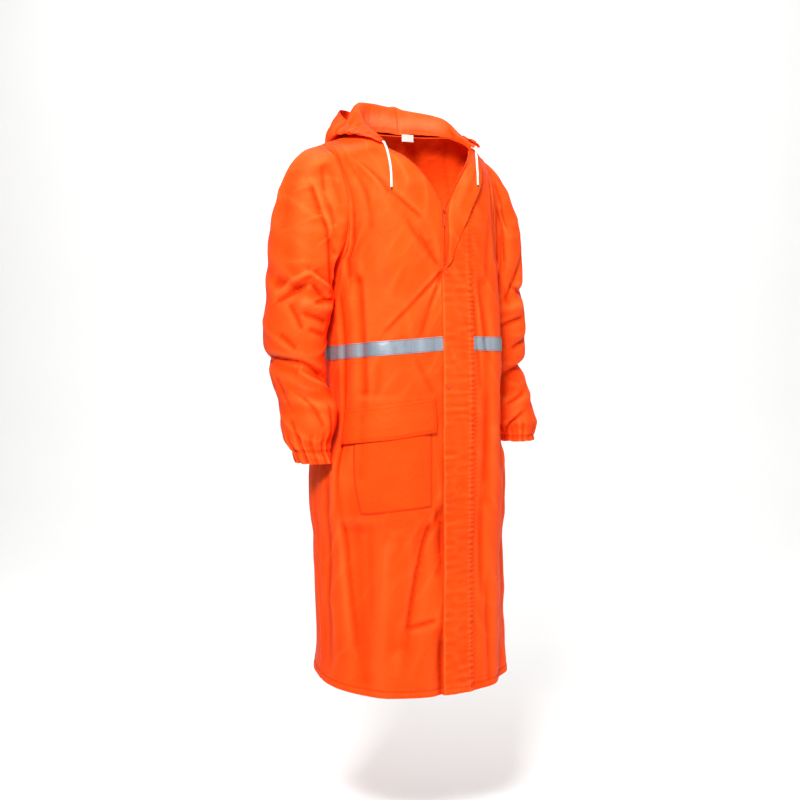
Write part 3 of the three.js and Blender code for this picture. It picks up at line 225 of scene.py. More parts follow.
SLEEVE_RINGS = rows(
    "z right left y half_x half_y",
    (-330, 243, 230, 44, 71, 93),
    (-400, 252, 246, 50, 66, 92),
    (-440, 253, 248, 50, 62, 88),
    (-515, 249, 251, 36, 57, 72),
    (-560, 239, 246, 12, 60, 71),
    (-600, 244, 254, -4, 59, 68),
    (-634, 249, 259, -14, 49, 51),
    (-652, 246, 258, -20, 43, 45),
    (-680, 239, 254, -27, 40, 43),
)
CUFF_RISE_FROM = -600
CUFF_RISE = {-1: 2, 1: 31}
SLEEVE_CLEAR = 6
HEM_TURN = 12
CUFF_CASING_TOP = -640
CAP_SHAPE = {-1: (0.96, 0.2, 0.34, 0.36), 1: (0.93, 0.32, 0.29, 0.28)}

# Sleeve folds, by the angle round from the outer line towards the front, and the height
SLEEVE_FOLD_COLUMNS = "angle z angle2 z2 width rise edge skew"
SLEEVE_FOLDS = rows(
    SLEEVE_FOLD_COLUMNS,
    (62, -60, 128, -300, 15, -9, 2, 0),
    (30, -90, 70, -330, 20, 5, 2, 0),
    (20, -300, 95, -330, 14, -7, 2, 0),
    (70, -345, 120, -352, 14, 7, 2, 0),
    (-40, -462, 120, -500, 15, -9, 2, 0),
    (20, -545, 130, -560, 16, 6, 2, 0),
    (-120, -330, -60, -430, 18, -6, 2, 0),
    (-140, -520, -60, -560, 16, -6, 2, 0),
)
SLEEVE_RIGHT_CREASES = rows(
    SLEEVE_FOLD_COLUMNS,
    (33, -96, 64, -158, 8, -6.0, 1.2, 0.5),
    (64, -158, 92, -206, 8, -6.0, 1.2, 0.5),
    (92, -206, 128, -244, 8, -5.0, 1.2, 0.5),
    (22, -44, 56, -120, 8, -3.6, 1.3, 0.3),
    (56, -120, 90, -178, 7, -3.6, 1.3, 0.3),
    (16, -20, 50, -86, 9, -2.6, 1.4, 0),
    (52, -84, 80, -130, 8, -2.8, 1.4, 0),
    (2, -60, 20, -190, 16, -2.0, 1.8, 0),
    (28, -318, 74, -280, 9, 5.0, 1.3, -0.4),
    (74, -280, 116, -314, 9, 5.0, 1.3, 0.4),
    (20, -338, 70, -304, 8, -5.0, 1.2, 0.3),
    (80, -306, 112, -338, 7, -4.5, 1.2, 0.3),
    (86, -342, 128, -336, 6, -4.0, 1.2, 0.4),
    (44, -346, 70, -398, 9, -3.0, 1.3, 0),
    (70, -366, 122, -384, 8, -3.4, 1.3, 0.3),
    (84, -400, 126, -412, 7, -2.6, 1.3, 0),
    (30, -410, 60, -440, 10, -2.2, 1.5, 0),
    (-6, -456, 70, -468, 8, -5.0, 1.2, 0.4),
    (70, -468, 142, -500, 8, -5.0, 1.2, 0.4),
    (60, -486, 130, -520, 12, 4.0, 1.4, 0),
    (10, -500, 24, -560, 12, -2.6, 1.5, 0),
    (60, -540, 96, -600, 10, -2.6, 1.4, 0.3),
    (24, -590, 44, -640, 8, -2.4, 1.3, 0),
    (104, -560, 128, -620, 9, -2.6, 1.3, 0),
    (-60, -120, -96, -260, 14, -4.0, 1.5, 0),
    (-30, -230, -70, -330, 14, -3.0, 1.5, 0),
    (-80, -440, -20, -470, 10, -5.0, 1.3, 0),
    (-120, -470, -60, -500, 10, -4.0, 1.3, 0),
    (-90, -560, -60, -630, 10, -3.0, 1.4, 0),
)
SLEEVE_LEFT_CREASES = rows(
    SLEEVE_FOLD_COLUMNS,
    (40, -70, 74, -170, 10, -4.5, 1.3, 0.4),
    (70, -120, 104, -250, 9, -5.0, 1.3, 0.4),
    (50, -230, 96, -330, 11, -4.0, 1.4, 0),
    (30, -320, 90, -300, 9, -4.0, 1.3, 0.3),
    (60, -370, 120, -390, 8, -4.0, 1.3, 0.3),
    (40, -420, 96, -440, 8, -3.6, 1.3, 0),
    (20, -470, 120, -500, 9, -5.0, 1.2, 0.3),
    (88, -582, 144, -622, 7, -5.0, 1.2, 0.4),
    (70, -540, 120, -566, 8, -3.4, 1.3, 0),
    (40, -570, 60, -640, 9, -3.0, 1.4, 0),
    (-60, -120, -96, -260, 14, -4.0, 1.5, 0),
    (-80, -300, -30, -360, 12, -4.0, 1.4, 0),
    (-90, -450, -20, -480, 10, -5.0, 1.3, 0),
    (-100, -560, -60, -630, 10, -3.0, 1.4, 0),
)
ANGLE_TO_ACROSS = 1.35

HOOD_COLUMNS = "at crest_x crest_y crest_z low_x low_y low_z rim_x rim_y rim_z"
HOOD_TABLE = {
    -1: rows(
        HOOD_COLUMNS,
        (0, 110, -88, -3, 119, -88, -3, 113, -90, 3),
        (0.16, 112, -42, 22, 140, -34, 18, 120, -34, 20),
        (0.32, 119, 12, 60, 160, 6, 21, 132, 22, 42),
        (0.48, 114, 44, 95, 174, 68, 16, 145, 58, 72),
        (0.64, 90, 58, 110, 148, 140, -52, 131, 98, 92),
        (0.82, 48, 66, 109, 82, 182, -104, 82, 146, 98),
        (1, 0, 72, 101, 0, 196, -122, 0, 176, 82),
    ),
    1: rows(
        HOOD_COLUMNS,
        (0, 114, -88, 1, 126, -88, 0, 120, -90, 6),
        (0.16, 114, -44, 18, 142, -34, 18, 128, -34, 24),
        (0.32, 122, 8, 48, 164, 6, 20, 140, 16, 38),
        (0.48, 118, 40, 70, 174, 68, 16, 148, 62, 52),
        (0.64, 96, 56, 85, 150, 140, -52, 138, 104, 66),
        (0.82, 52, 66, 95, 84, 182, -104, 86, 150, 76),
        (1, 0, 72, 101, 0, 196, -122, 0, 176, 82),
    ),
}
HOOD_STATIONS = 9
HOOD_STEPS = 14
HOOD_CLEAR = 4
HOOD_SEAM_LIFT = 0.9
HOOD_CREST_UP = 13
HOOD_ACROSS = 400

# Heights of each piece's finer relief, in mm: its creases, slow waves, ripples and flat planes
PANEL_RELIEF = {"crease": 1.8, "wave": 1.1, "ripple": 0.45, "plane": 4.2, "facet": 2.2}
SLEEVE_RELIEF = {"crease": 2.5, "wave": 1.0, "plane": 4.0}
HOOD_RELIEF = {"wave": 1.6, "ripple": 0.6, "plane": 2.4}

FLAP_FREE_X = -10
FLAP_SEWN_X = 64
FLAP_FOLD_X = -7.5
FLAP_LIFT = 3.0
FLAP_SEWN_LIFT = 1.9
FLAP_ROWS_TO = -300
FLAP_ROW = 2.5
LAPEL_GAP = 3.2
LAPEL_ROW = 3
LAPEL_OPENS_OVER = 30
LAPEL = rows(
    "z fold free",
    (-290, -7.5, -10), (-272, -1, 1), (-250, 5, 12), (-210, 9, 30),
    (-150, 11, 60), (-110, 26, 82), (-70, 54, 100), (-46, 78, 110),
)

POCKET = {"inner": 33, "outer": 206, "lean": 1, "top": -600, "bottom_inner": -768, "bottom_outer": -782}
POCKET_FLAP = {"inner": 26, "outer": 247, "top_inner": -541, "top_outer": -570, "drop": 72}
POCKET_CALM = (30, 240, -790, -545)
POCKET_LIFT = 2.3
POCKET_FLAP_LIFT = 4.4
TAPE_WIDTH = 30
TAPE_LIFT = 1.7
TAPE_Z = {"centre": -428, "right_side": -450, "left_side": -436}
ZIP_TAPE_WIDTH = 15
ZIP_TAPE_PAST = 2.6
ZIP_TAPE_GAP = 0.5
SNAP_NODES = ("snap_1", "snap_2", "snap_3", "snap_4")
# Radius and height of a snap's cap from its seat to its sunk middle
SNAP_PROFILE = (
    (0.2, 0), (4.6, 0), (5.3, -0.15), (5.5, -0.5), (5.45, -0.9), (5.2, -1.3), (4.7, -1.6),
    (4.1, -1.75), (3.75, -1.72), (3.5, -1.5), (3.3, -1.42), (2.6, -1.5), (1.4, -1.6), (0.2, -1.62),
)
CORD_RADIUS = 2.5
CORD_SIDES = 20
CORD_TIP = 4.5
# The floor runs back from the camera, bends up and stands as the backdrop, all in metres
FLOOR = {"z": -1.5, "reach": 9.0, "back": 3.5, "bend": 2, "steps": 12}
CAMERA = {
    "distance": 3, "height": -0.4, "turn": -28, "lens": 61.36, "sensor": 36, "shift": (-0.0125, -0.0875),
}
CORD_ROUTE = {
    "drawcord_right": (
        (-111.5, -88.8, -3.5), (-111.2, -93, -5.5), (-110, -97.5, -12.5), (-108, -101, -22),
        (-107.5, -107, -36), (-109, -117.5, -55), (-111.5, -126.5, -76), (-113, -130.5, -94),
        (-113.5, -132, -107),
    ),
    "drawcord_left": (
        (114.5, -88.8, -0.5), (113.8, -93, -2.5), (110.5, -99.5, -9.5), (105, -108.5, -20),
        (99.5, -120, -34), (94.5, -129.5, -48), (91, -137.5, -64), (86.5, -144.8, -80),
        (84.5, -149.8, -95),
    ),
}


def smooth(table, key, name, at):
    """Smooth value of one column of a table, by the column that its rows are sorted on."""
    keys = table[key]
    values = table[name]
    if keys[-1] < keys[0]:
        keys = keys[::-1]
        values = values[::-1]
    return through(values, keys, np.asarray(at, float))


def through(values, keys, at):
    """Values at new places on smooth curves through the ones at the keys."""
    at = np.clip(at, keys[0], keys[-1])
    i = np.clip(np.searchsorted(keys, at, side="left") - 1, 0, len(keys) - 2)
    before = np.maximum(i - 1, 0)
    after = np.minimum(i + 2, len(keys) - 1)

    def spread(x):
        return x.reshape(x.shape + (1,) * (values.ndim - 1))

    span = spread(keys[i + 1] - keys[i])
    t = spread(at - keys[i]) / span
    slope_a = (values[i + 1] - values[before]) / spread(keys[i + 1] - keys[before])
    slope_b = (values[after] - values[i]) / spread(keys[after] - keys[i])
    t2 = t * t
    t3 = t2 * t
    return (
        (2 * t3 - 3 * t2 + 1) * values[i]
        + (t3 - 2 * t2 + t) * span * slope_a
        + (3 * t2 - 2 * t3) * values[i + 1]
        + (t3 - t2) * span * slope_b
    )


def straight(table, key, name, at):
    """Value of one column of a table, on straight lines between its rows."""
    return np.interp(at, table[key], table[name])


def mix(a, b, t):
    """A where t is 0 and b where it is 1."""
    return a + (b - a) * t


def ease(t):
    """0 to 1 with a soft start and end."""
    t = np.clip(t, 0, 1)
    return t * t * (3 - 2 * t)


def bell(x, width):
    """1 where x is 0, falling off smoothly over a width on each side."""
    return np.exp(-((x / width) ** 2))


def unit(v):
    """Vectors of length 1."""
    return v / np.maximum(np.linalg.norm(v, axis=-1, keepdims=True), 1e-9)


def fold_rise(folds, across, z, ends=False):
    """Height that a table's folds add at places on the cloth, in mm."""
    total = np.zeros(np.broadcast(across, z).shape)
    first = folds["across"] if "across" in folds else folds["angle"] * ANGLE_TO_ACROSS
    second = folds["across2"] if "across2" in folds else folds["angle2"] * ANGLE_TO_ACROSS
    for k in range(len(first)):
        dx = second[k] - first[k]
        dz = folds["z2"][k] - folds["z"][k]
        length = math.hypot(dx, dz)
        along = ((across - first[k]) * dx + (z - folds["z"][k]) * dz) / length**2
        t = np.clip(along, 0, 1)
        gap_x = across - first[k] - t * dx
        gap_z = z - folds["z"][k] - t * dz
        side = np.sign(gap_x * dz - gap_z * dx)
        width = folds["width"][k] * (1 + folds["skew"][k] * side)
        gap = np.hypot(gap_x, gap_z) / width
        taper = 0.35 + 0.65 * np.sin(np.pi * t) ** 0.5 if ends else 1
        total = total + folds["rise"][k] * taper * np.exp(-(gap ** folds["edge"][k]))
    return total


def soft_noise(u, v, size, seed):
    """Smooth random heights about 0, with hills a given size apart."""
    values = np.random.default_rng(seed).uniform(-1, 1, (64, 64))
    x = u / size + 17.3
    y = v / size + 31.7
    ix = np.floor(x).astype(int)
    iy = np.floor(y).astype(int)
    tx = ease(x - ix)
    ty = ease(y - iy)

    def at(a, b):
        return values[a % 64, b % 64]

    low = mix(at(ix, iy), at(ix + 1, iy), tx)
    high = mix(at(ix, iy + 1), at(ix + 1, iy + 1), tx)
    return mix(low, high, ty)


def crumple(u, v, size, seed):
    """Flat planes that meet in crisp ridges, as in a stiff coated cloth."""
    hills = soft_noise(u, v, size, seed)
    return 0.3 - np.sqrt(hills * hills + 0.003)


class Sheet:
    """A grid of points on the outer side of a piece of cloth, with the distance round at each."""

    def __init__(self, points, across, outward, closed=False):
        self.points = points
        self.across = across
        self.outward = outward
        self.closed = closed
        self.find_normals()

    def find_normals(self):
        p = self.points
        up = np.gradient(p, axis=0)
        if self.closed:
            along = (np.roll(p, -1, axis=1) - np.roll(p, 1, axis=1)) / 2
        else:
            along = np.gradient(p, axis=1)
        self.normals = unit(np.cross(along, up)) * self.outward

    def raised(self, rise):
        """The same sheet with its points moved out by a rise at each."""
        points = self.points + self.normals * rise[..., None]
        return Sheet(points, self.across, self.outward, self.closed)

    def at(self, u, v):
        """Place and normal at fractional columns and rows; past an edge it runs on straight."""
        count = self.points.shape
        i = np.clip(np.floor(u).astype(int), 0, count[1] - 2)
        j = np.clip(np.floor(v).astype(int), 0, count[0] - 2)
        s = (u - i)[..., None]
        t = (v - j)[..., None]

        def blend(grid):
            low = mix(grid[j, i], grid[j, i + 1], s)
            high = mix(grid[j + 1, i], grid[j + 1, i + 1], s)
            return mix(low, high, t)

        return blend(self.points), unit(blend(self.normals))

    def row_at(self, u, z):
        """Row at which a fractional column reaches height z."""
        i = np.clip(np.floor(u).astype(int), 0, self.points.shape[1] - 2)
        out = np.zeros(np.shape(u))
        count = np.arange(len(self.points))
        for k in np.ndindex(np.shape(u)):
            heights = mix(self.points[:, i[k], 2], self.points[:, i[k] + 1, 2], u[k] - i[k])
            out[k] = np.interp(z[k], heights, count)
        return out

    def column_at(self, z, across):
        """Fractional column at a distance round, on the row nearest to height z at the edge."""
        j = int(np.argmin(abs(self.points[:, 3, 2] - z)))
        return np.interp(across, self.across[j], np.arange(self.points.shape[1]))


def section(z, face):
    """The body's level section: half width, seam's y, depth, shift and squareness."""
    seam_y = smooth(BODY, "z", "seam_y", z)
    reach = smooth(BODY, "z", "front" if face < 0 else "back", z)
    return (
        smooth(BODY, "z", "half", z),
        seam_y,
        abs(reach - seam_y),
        smooth(BODY, "z", "shift", z),
        smooth(BODY, "z", "square", z),
    )


def face_y(face, x, z):
    """Y of the body's face at x and z, rounded over to the shoulder line at the top."""
    half, seam_y, depth, shift, square = section(z, face)
    out = min(abs(x - shift) / half, 1)
    section_y = seam_y + face * depth * (1 - out**square) ** (1 / square)
    below = (straight(SHOULDER, "x", "z", abs(x)) - z) / SHOULDER_DROP[face]
    t = min(max(below, 0), 1)
    ridge_y = straight(SHOULDER, "x", "y", abs(x))
    return ridge_y + (section_y - ridge_y) * math.sqrt(1 - (1 - t) ** 2)


def section_arc(face, side, z):
    """Points round one face from the centre to the side seam, at one height."""
    half, seam_y, depth, shift, square = section(z, face)
    angle = np.linspace(0, math.pi / 2, 121)
    x = shift + side * half * np.sin(angle) ** (2 / square)
    y = seam_y + face * depth * np.cos(angle) ** (2 / square)
    y[-1] = seam_y
    start_x = side * FRONT_EDGE_X if face < 0 else 0
    keep = (x - start_x) * side > 0
    first_y = y[0] if face < 0 else y[keep][0]
    return np.stack([np.append(start_x, x[keep]), np.append(first_y, y[keep])], axis=1)


def arc_lengths(points, axis=0):
    """Distance of each point from the first one, along a line or along one axis of a grid."""
    steps = np.linalg.norm(np.diff(points, axis=axis), axis=-1)
    return np.insert(np.cumsum(steps, axis=axis), 0, 0, axis=axis)


def point_along(points, lengths, distance):
    """The place on a line at a distance from its start."""
    return np.array([np.interp(distance, lengths, points[:, k]) for k in range(points.shape[1])])


def front_distances(girth):
    """Where a front's columns lie: two for the storm flap, then even ones."""
    near = [0, 29, 61]
    rest = np.linspace(near[-1], girth, FRONT_COLUMNS - 1)
    return np.array(near[:-1] + list(rest))


def hem_z(face, outward):
    """Height of the hem, which rises a little to the sides and at the back."""
    if face < 0:
        return HEM_FRONT + HEM_RISE_SIDE * outward**2
    return HEM_FRONT + mix(HEM_RISE_BACK, HEM_RISE_SIDE, outward**2)


def body_half(face, side, armhole):
    """One half of a face of the coat, in rows from the hem to the shoulder and neck."""
    last = FRONT_COLUMNS
    points = []
    across = []
    for j in range(LOWER_ROWS + 1):
        row = []
        distances = []
        for i in range(last + 1):
            z = mix(hem_z(face, i / last), ARMPIT_Z, j / LOWER_ROWS)
            arc = section_arc(face, side, z)
            lengths = arc_lengths(arc)
            girth = lengths[-1]
            distance = front_distances(girth)[i] if face < 0 else i / last * girth
            row.append([*point_along(arc, lengths, distance), z])
            distances.append(distance)
        points.append(row)
        across.append(distances)
    start = points[LOWER_ROWS]
    for j in range(1, ARMHOLE_ROWS + 1):
        up = j / ARMHOLE_ROWS
        in_x = side * straight(OPENING[side], "up", "x", up) if face < 0 else 0
        in_z = straight(OPENING[side], "up", "z", up) if face < 0 else mix(ARMPIT_Z, BACK_NECK_Z, up)
        out_x = side * smooth(armhole, "up", "x", up)
        out_z = smooth(armhole, "up", "z", up)
        row = []
        for base in start:
            part = (base[0] - start[0][0]) / (start[last][0] - start[0][0])
            x = mix(in_x, out_x, part)
            z = mix(in_z, out_z, part)
            top = min(straight(SHOULDER, "x", "z", abs(x)), BACK_NECK_Z)
            z += 0 if face < 0 else up**3 * (top - mix(BACK_NECK_Z, out_z, part))
            row.append([x, face_y(face, x, z), z])
        points.append(row)
        across.append(across[LOWER_ROWS])
    return np.array(points, float), np.array(across, float)


def refined(points, row_steps, column_steps, closed=False, row_gaps=None):
    """A grid with more rows and columns, on smooth curves through the ones there."""
    gaps = np.ones(len(row_steps)) if row_gaps is None else np.array(row_gaps, float)
    keys = np.append(0, np.cumsum(gaps))
    at = [keys[j] + gaps[j] * np.arange(n) / n for j, n in enumerate(row_steps)] + [keys[-1:]]
    points = through(points, keys, np.concatenate(at)).swapaxes(0, 1)
    count = len(points)
    if closed:
        points = np.concatenate([points[-2:], points, points[:3]])
        at = 2 + np.arange(count * column_steps) / column_steps
    else:
        at = np.arange((count - 1) * column_steps + 1) / column_steps
    return through(points, np.arange(len(points), dtype=float), at).swapaxes(0, 1)


BODY_STEPS = [HEM_FINE] + [LOWER_FINE] * (LOWER_ROWS - 1) + [UPPER_FINE] * ARMHOLE_ROWS
BODY_GAPS = [LOWER_GAP] * LOWER_ROWS + [UPPER_GAP] * ARMHOLE_ROWS
ARMPIT_ROW = sum(BODY_STEPS[:LOWER_ROWS])
CORNER_ROW = ARMPIT_ROW + round(CORNER_UP * ARMHOLE_ROWS) * UPPER_FINE


def panel(points, across, outward, folds, creases, seed, calm=None):
    """A body panel with its large folds, then its creases and the cloth's slight unevenness.

    Calm is a range across and in height where a stiff pocket keeps the cloth flatter.
    """
    fine = refined(np.dstack([points, across]), BODY_STEPS, COLUMN_FINE, row_gaps=BODY_GAPS)
    sheet = Sheet(fine[..., :3], fine[..., 3], outward)
    girth = abs(sheet.across[:, -1:])
    from_seam = girth - abs(sheet.across)
    below_top = (len(fine) - 1 - np.arange(len(fine)))[:, None] / UPPER_FINE
    above_hem = fine[..., 2] - fine[:1, :, 2]
    large = np.clip(from_seam / 60, 0, 1) * np.clip(below_top / 2, 0, 1)
    small = ease(from_seam / 12) * ease(below_top / 1.2)
    z = sheet.points[..., 2]
    if calm:
        low, high, bottom, top = calm
        inside = ease((abs(sheet.across) - low) / 14 + 1) * ease((high - abs(sheet.across)) / 14 + 1)
        inside = inside * ease((z - bottom) / 30 + 1) * ease((top - z) / 20 + 1)
        large = large * (1 - 0.55 * inside)
        small = small * (1 - 0.6 * inside)
    rise = fold_rise(folds, sheet.across, z) * large
    relief = PANEL_RELIEF
    rise += relief["crease"] * fold_rise(creases, sheet.across, z, ends=True) * small
    rise += relief["wave"] * soft_noise(sheet.across, z, 95, seed) * small
    rise += relief["ripple"] * soft_noise(sheet.across, z * 0.6, 34, seed + 1) * small
    rise += relief["plane"] * crumple(sheet.across, z * 0.4, 62, seed + 5) * small
    rise += relief["facet"] * crumple(sheet.across + 0.5 * z, z * 0.55, 44, seed + 6) * small
    # The seams sink a little where the pieces are sewn, and the hem is turned up and stitched
    rise -= 0.6 * bell(from_seam, 3.5)
    rise += 0.7 * ease((HEM_TURN + 2 - above_hem) / 3)
    rise -= 0.9 * bell(above_hem - HEM_TURN - 2, 2.2)
    pucker = np.sin(sheet.across * 0.62 + 1.4 * soft_noise(sheet.across, above_hem, 23, seed + 2))
    rise += 0.3 * pucker * bell(above_hem - HEM_TURN, 9)
    return sheet.raised(rise)


def seam_pucker(z):
    """Small uneven gathers along the storm flap's sewn edge, by height."""
    return np.sin(z * 0.6 + 2.0 * np.sin(z * 0.071)) + 0.5 * np.sin(z * 0.31 + 1) * np.sin(z * 0.023)


def sleeve_ring(side, z):
    """Middle and half sizes of a sleeve's level ring."""
    name = "right" if side < 0 else "left"
    return (
        side * smooth(SLEEVE_RINGS, "z", name, z),
        smooth(SLEEVE_RINGS, "z", "y", z),
        smooth(SLEEVE_RINGS, "z", "half_x", z),
        smooth(SLEEVE_RINGS, "z", "half_y", z),
    )


def clear_of_body(side, x, y, z, gap):
    """A sleeve's x, kept outside the body's side by a gap."""
    face = -1 if y < section(z, -1)[1] else 1
    half, seam_y, depth, shift, square = section(z, face)
    out = min(abs(y - seam_y) / depth, 1)
    edge = shift * side + half * (1 - out**square) ** (1 / square) + gap
    return side * max(side * x, edge)


def ring_point(side, z, angle):
    """A place on a sleeve's ring, by the angle from its outer line to the front."""
    middle_x, middle_y, half_x, half_y = sleeve_ring(side, z)
    x = middle_x + side * half_x * math.cos(angle)
    y = middle_y - half_y * math.sin(angle)
    return np.array([clear_of_body(side, x, y, z, SLEEVE_CLEAR), y, z], float)


def bezier(a, b, c, d, t):
    """Point of a curve from a to d with handles b and c."""
    return (1 - t) ** 3 * a + 3 * (1 - t) ** 2 * t * b + 3 * (1 - t) * t**2 * c + t**3 * d


def sleeve_sheet(side, edge, creases, seed):
    """A sleeve round its armhole's edge, which runs from the shoulder by the front and back to it."""
    cap_end = SLEEVE_RINGS["z"][0]
    cuff_end = SLEEVE_RINGS["z"][-1]
    outward_part, down_part, start_part, end_part = CAP_SHAPE[side]
    columns = []
    for k, start in enumerate(edge[::UPPER_FINE]):
        angle = k / SLEEVE_RING * 2 * math.pi
        end = ring_point(side, cap_end, angle)
        outer = (1 + math.cos(angle)) / 2
        reach = np.linalg.norm(end - start)
        leave = unit(np.array([
            side * mix(0.8, outward_part, outer),
            -0.25 * math.sin(angle),
            -mix(0.7, down_part, outer),
        ]))
        handle_a = start + leave * reach * start_part
        handle_b = end + np.array([0, 0, reach * end_part])
        column = []
        for j in range(CAP_ROWS):
            p = bezier(start, handle_a, handle_b, end, j / CAP_ROWS)
            if j > 0:
                p[0] = clear_of_body(side, p[0], p[1], p[2], min(j * 3, SLEEVE_CLEAR))
            column.append(p)
        for j in range(ARM_ROWS + 1):
            z = mix(cap_end, cuff_end, j / ARM_ROWS)
            p = ring_point(side, z, angle)
            p[2] += CUFF_RISE[side] * max((CUFF_RISE_FROM - z) / (CUFF_RISE_FROM - cuff_end), 0)
            column.append(p)
        columns.append(column)
    coarse = np.array(columns).swapaxes(0, 1)
    fine = refined(coarse, [CAP_FINE] * CAP_ROWS + [ARM_FINE] * ARM_ROWS, UPPER_FINE, closed=True)
    # The top row takes the armhole's own points, and the rows below ease away from them
    ease_off = np.clip(1 - np.arange(len(fine)) / CAP_FINE, 0, 1)[:, None, None]
    fine = fine + (edge - fine[0])[None] * ease_off
    count = fine.shape[1]
    turn = np.arange(count) / count * 360
    across = np.broadcast_to(turn, fine.shape[:2]).copy()
    sheet = Sheet(fine, across, side, closed=True)
    angle = np.where(across > 200, across - 360, across)
    z = fine[..., 2]
    row = np.arange(len(fine))[:, None]
    inner = np.clip(abs(abs(angle) - 180) / 45, 0, 1)
    small = ease(row / CAP_FINE / 0.8)
    round_arm = angle * ANGLE_TO_ACROSS
    relief = SLEEVE_RELIEF
    rise = fold_rise(SLEEVE_FOLDS, round_arm, z) * np.clip(row / CAP_FINE / 2, 0, 1) * inner
    creased = fold_rise(creases, round_arm, z, ends=True)
    rise += relief["crease"] * creased * small * np.clip(inner + 0.2, 0, 1)
    around = np.radians(turn)[None]
    bumps = soft_noise(60 * np.cos(around) + 200, z + 60 * np.sin(around), 42, seed)
    rise += relief["wave"] * bumps * small
    planes = crumple(34 * np.cos(around) + 200, z + 46 * np.sin(around), 36, seed + 3)
    rise += relief["plane"] * planes * small
    # Elastic gathers the cuff, and its folds run up into the sleeve
    casing = CUFF_CASING_TOP + CUFF_RISE[side] * 0.5
    tight = ease((casing + 34 - z) / 34)
    wobble = 0.35 * np.sin(3 * around + seed) + 0.2 * np.sin(7 * around)
    gathers = np.cos(13 * around + 2 * wobble) + 0.35 * np.cos(23 * around + seed)
    rise += tight * (2.1 + 0.8 * np.sin(2 * around + seed)) * gathers
    rise -= 2.2 * bell(z - casing + 14, 3.5) * tight
    rise -= 0.5 * bell(row, 1.2)
    return sheet.raised(rise)


def spaced_curve(points, count):
    """Evenly spaced places on a smooth curve through a few points."""
    p = np.array(points, float)
    wide = np.vstack([2 * p[0] - p[1], p, 2 * p[-1] - p[-2]])
    t = (np.arange(40) / 40)[:, None]
    dense = []
    for a, b, c, d in zip(wide, wide[1:], wide[2:], wide[3:]):
        pairs = ((b, a), (c, b), (d, c))
        first, middle, last = [max(math.sqrt(np.linalg.norm(q - r)), 1e-4) for q, r in pairs]
        slope_a = ((b - a) / first - (c - a) / (first + middle) + (c - b) / middle) * middle
        slope_b = ((c - b) / middle - (d - b) / (middle + last) + (d - c) / last) * middle
        dense.append(
            (2 * t**3 - 3 * t**2 + 1) * b + (t**3 - 2 * t**2 + t) * slope_a
            + (3 * t**2 - 2 * t**3) * c + (t**3 - t**2) * slope_b
        )
    dense = np.vstack([*dense, p[-1:]])
    lengths = arc_lengths(dense)
    return point_along(dense, lengths, np.linspace(0, lengths[-1], count + 1)).T


def clear_of_shoulder(p):
    """A point of the hood, kept clear of the shoulders and back."""
    ridge_z = straight(SHOULDER, "x", "z", abs(p[0]))
    ridge_y = straight(SHOULDER, "x", "y", abs(p[0]))
    face = -1 if p[1] < ridge_y else 1
    reach = abs(face_y(face, p[0], -200) - ridge_y)
    part = min(abs(p[1] - ridge_y) / reach, 1) if reach else 1
    top = ridge_z - SHOULDER_DROP[face] * (1 - math.sqrt(1 - part**2))
    if abs(p[0]) > 200 or p[2] > top + HOOD_CLEAR:
        return p
    back = face_y(1, p[0], p[2]) + HOOD_CLEAR
    if face > 0 and back - p[1] < top + HOOD_CLEAR - p[2]:
        return np.array([p[0], back, p[2]])
    return np.array([p[0], p[1], top + HOOD_CLEAR])


def evened(points):
    """A grid of the hood with its rows below the crest drawn towards their neighbours."""
    out = points.copy()
    out[-1, 1:-1] = mix(points[-1, 1:-1], (points[-1, :-2] + points[-1, 2:]) / 2, 0.6)
    for j in range(2, points.shape[0] - 1):
        for i in range(1, points.shape[1] - 1):
            around = (points[j - 1, i] + points[j + 1, i] + points[j, i - 1] + points[j, i + 1]) / 4
            out[j, i] = clear_of_shoulder(mix(points[j, i], around, 0.6))
    return out


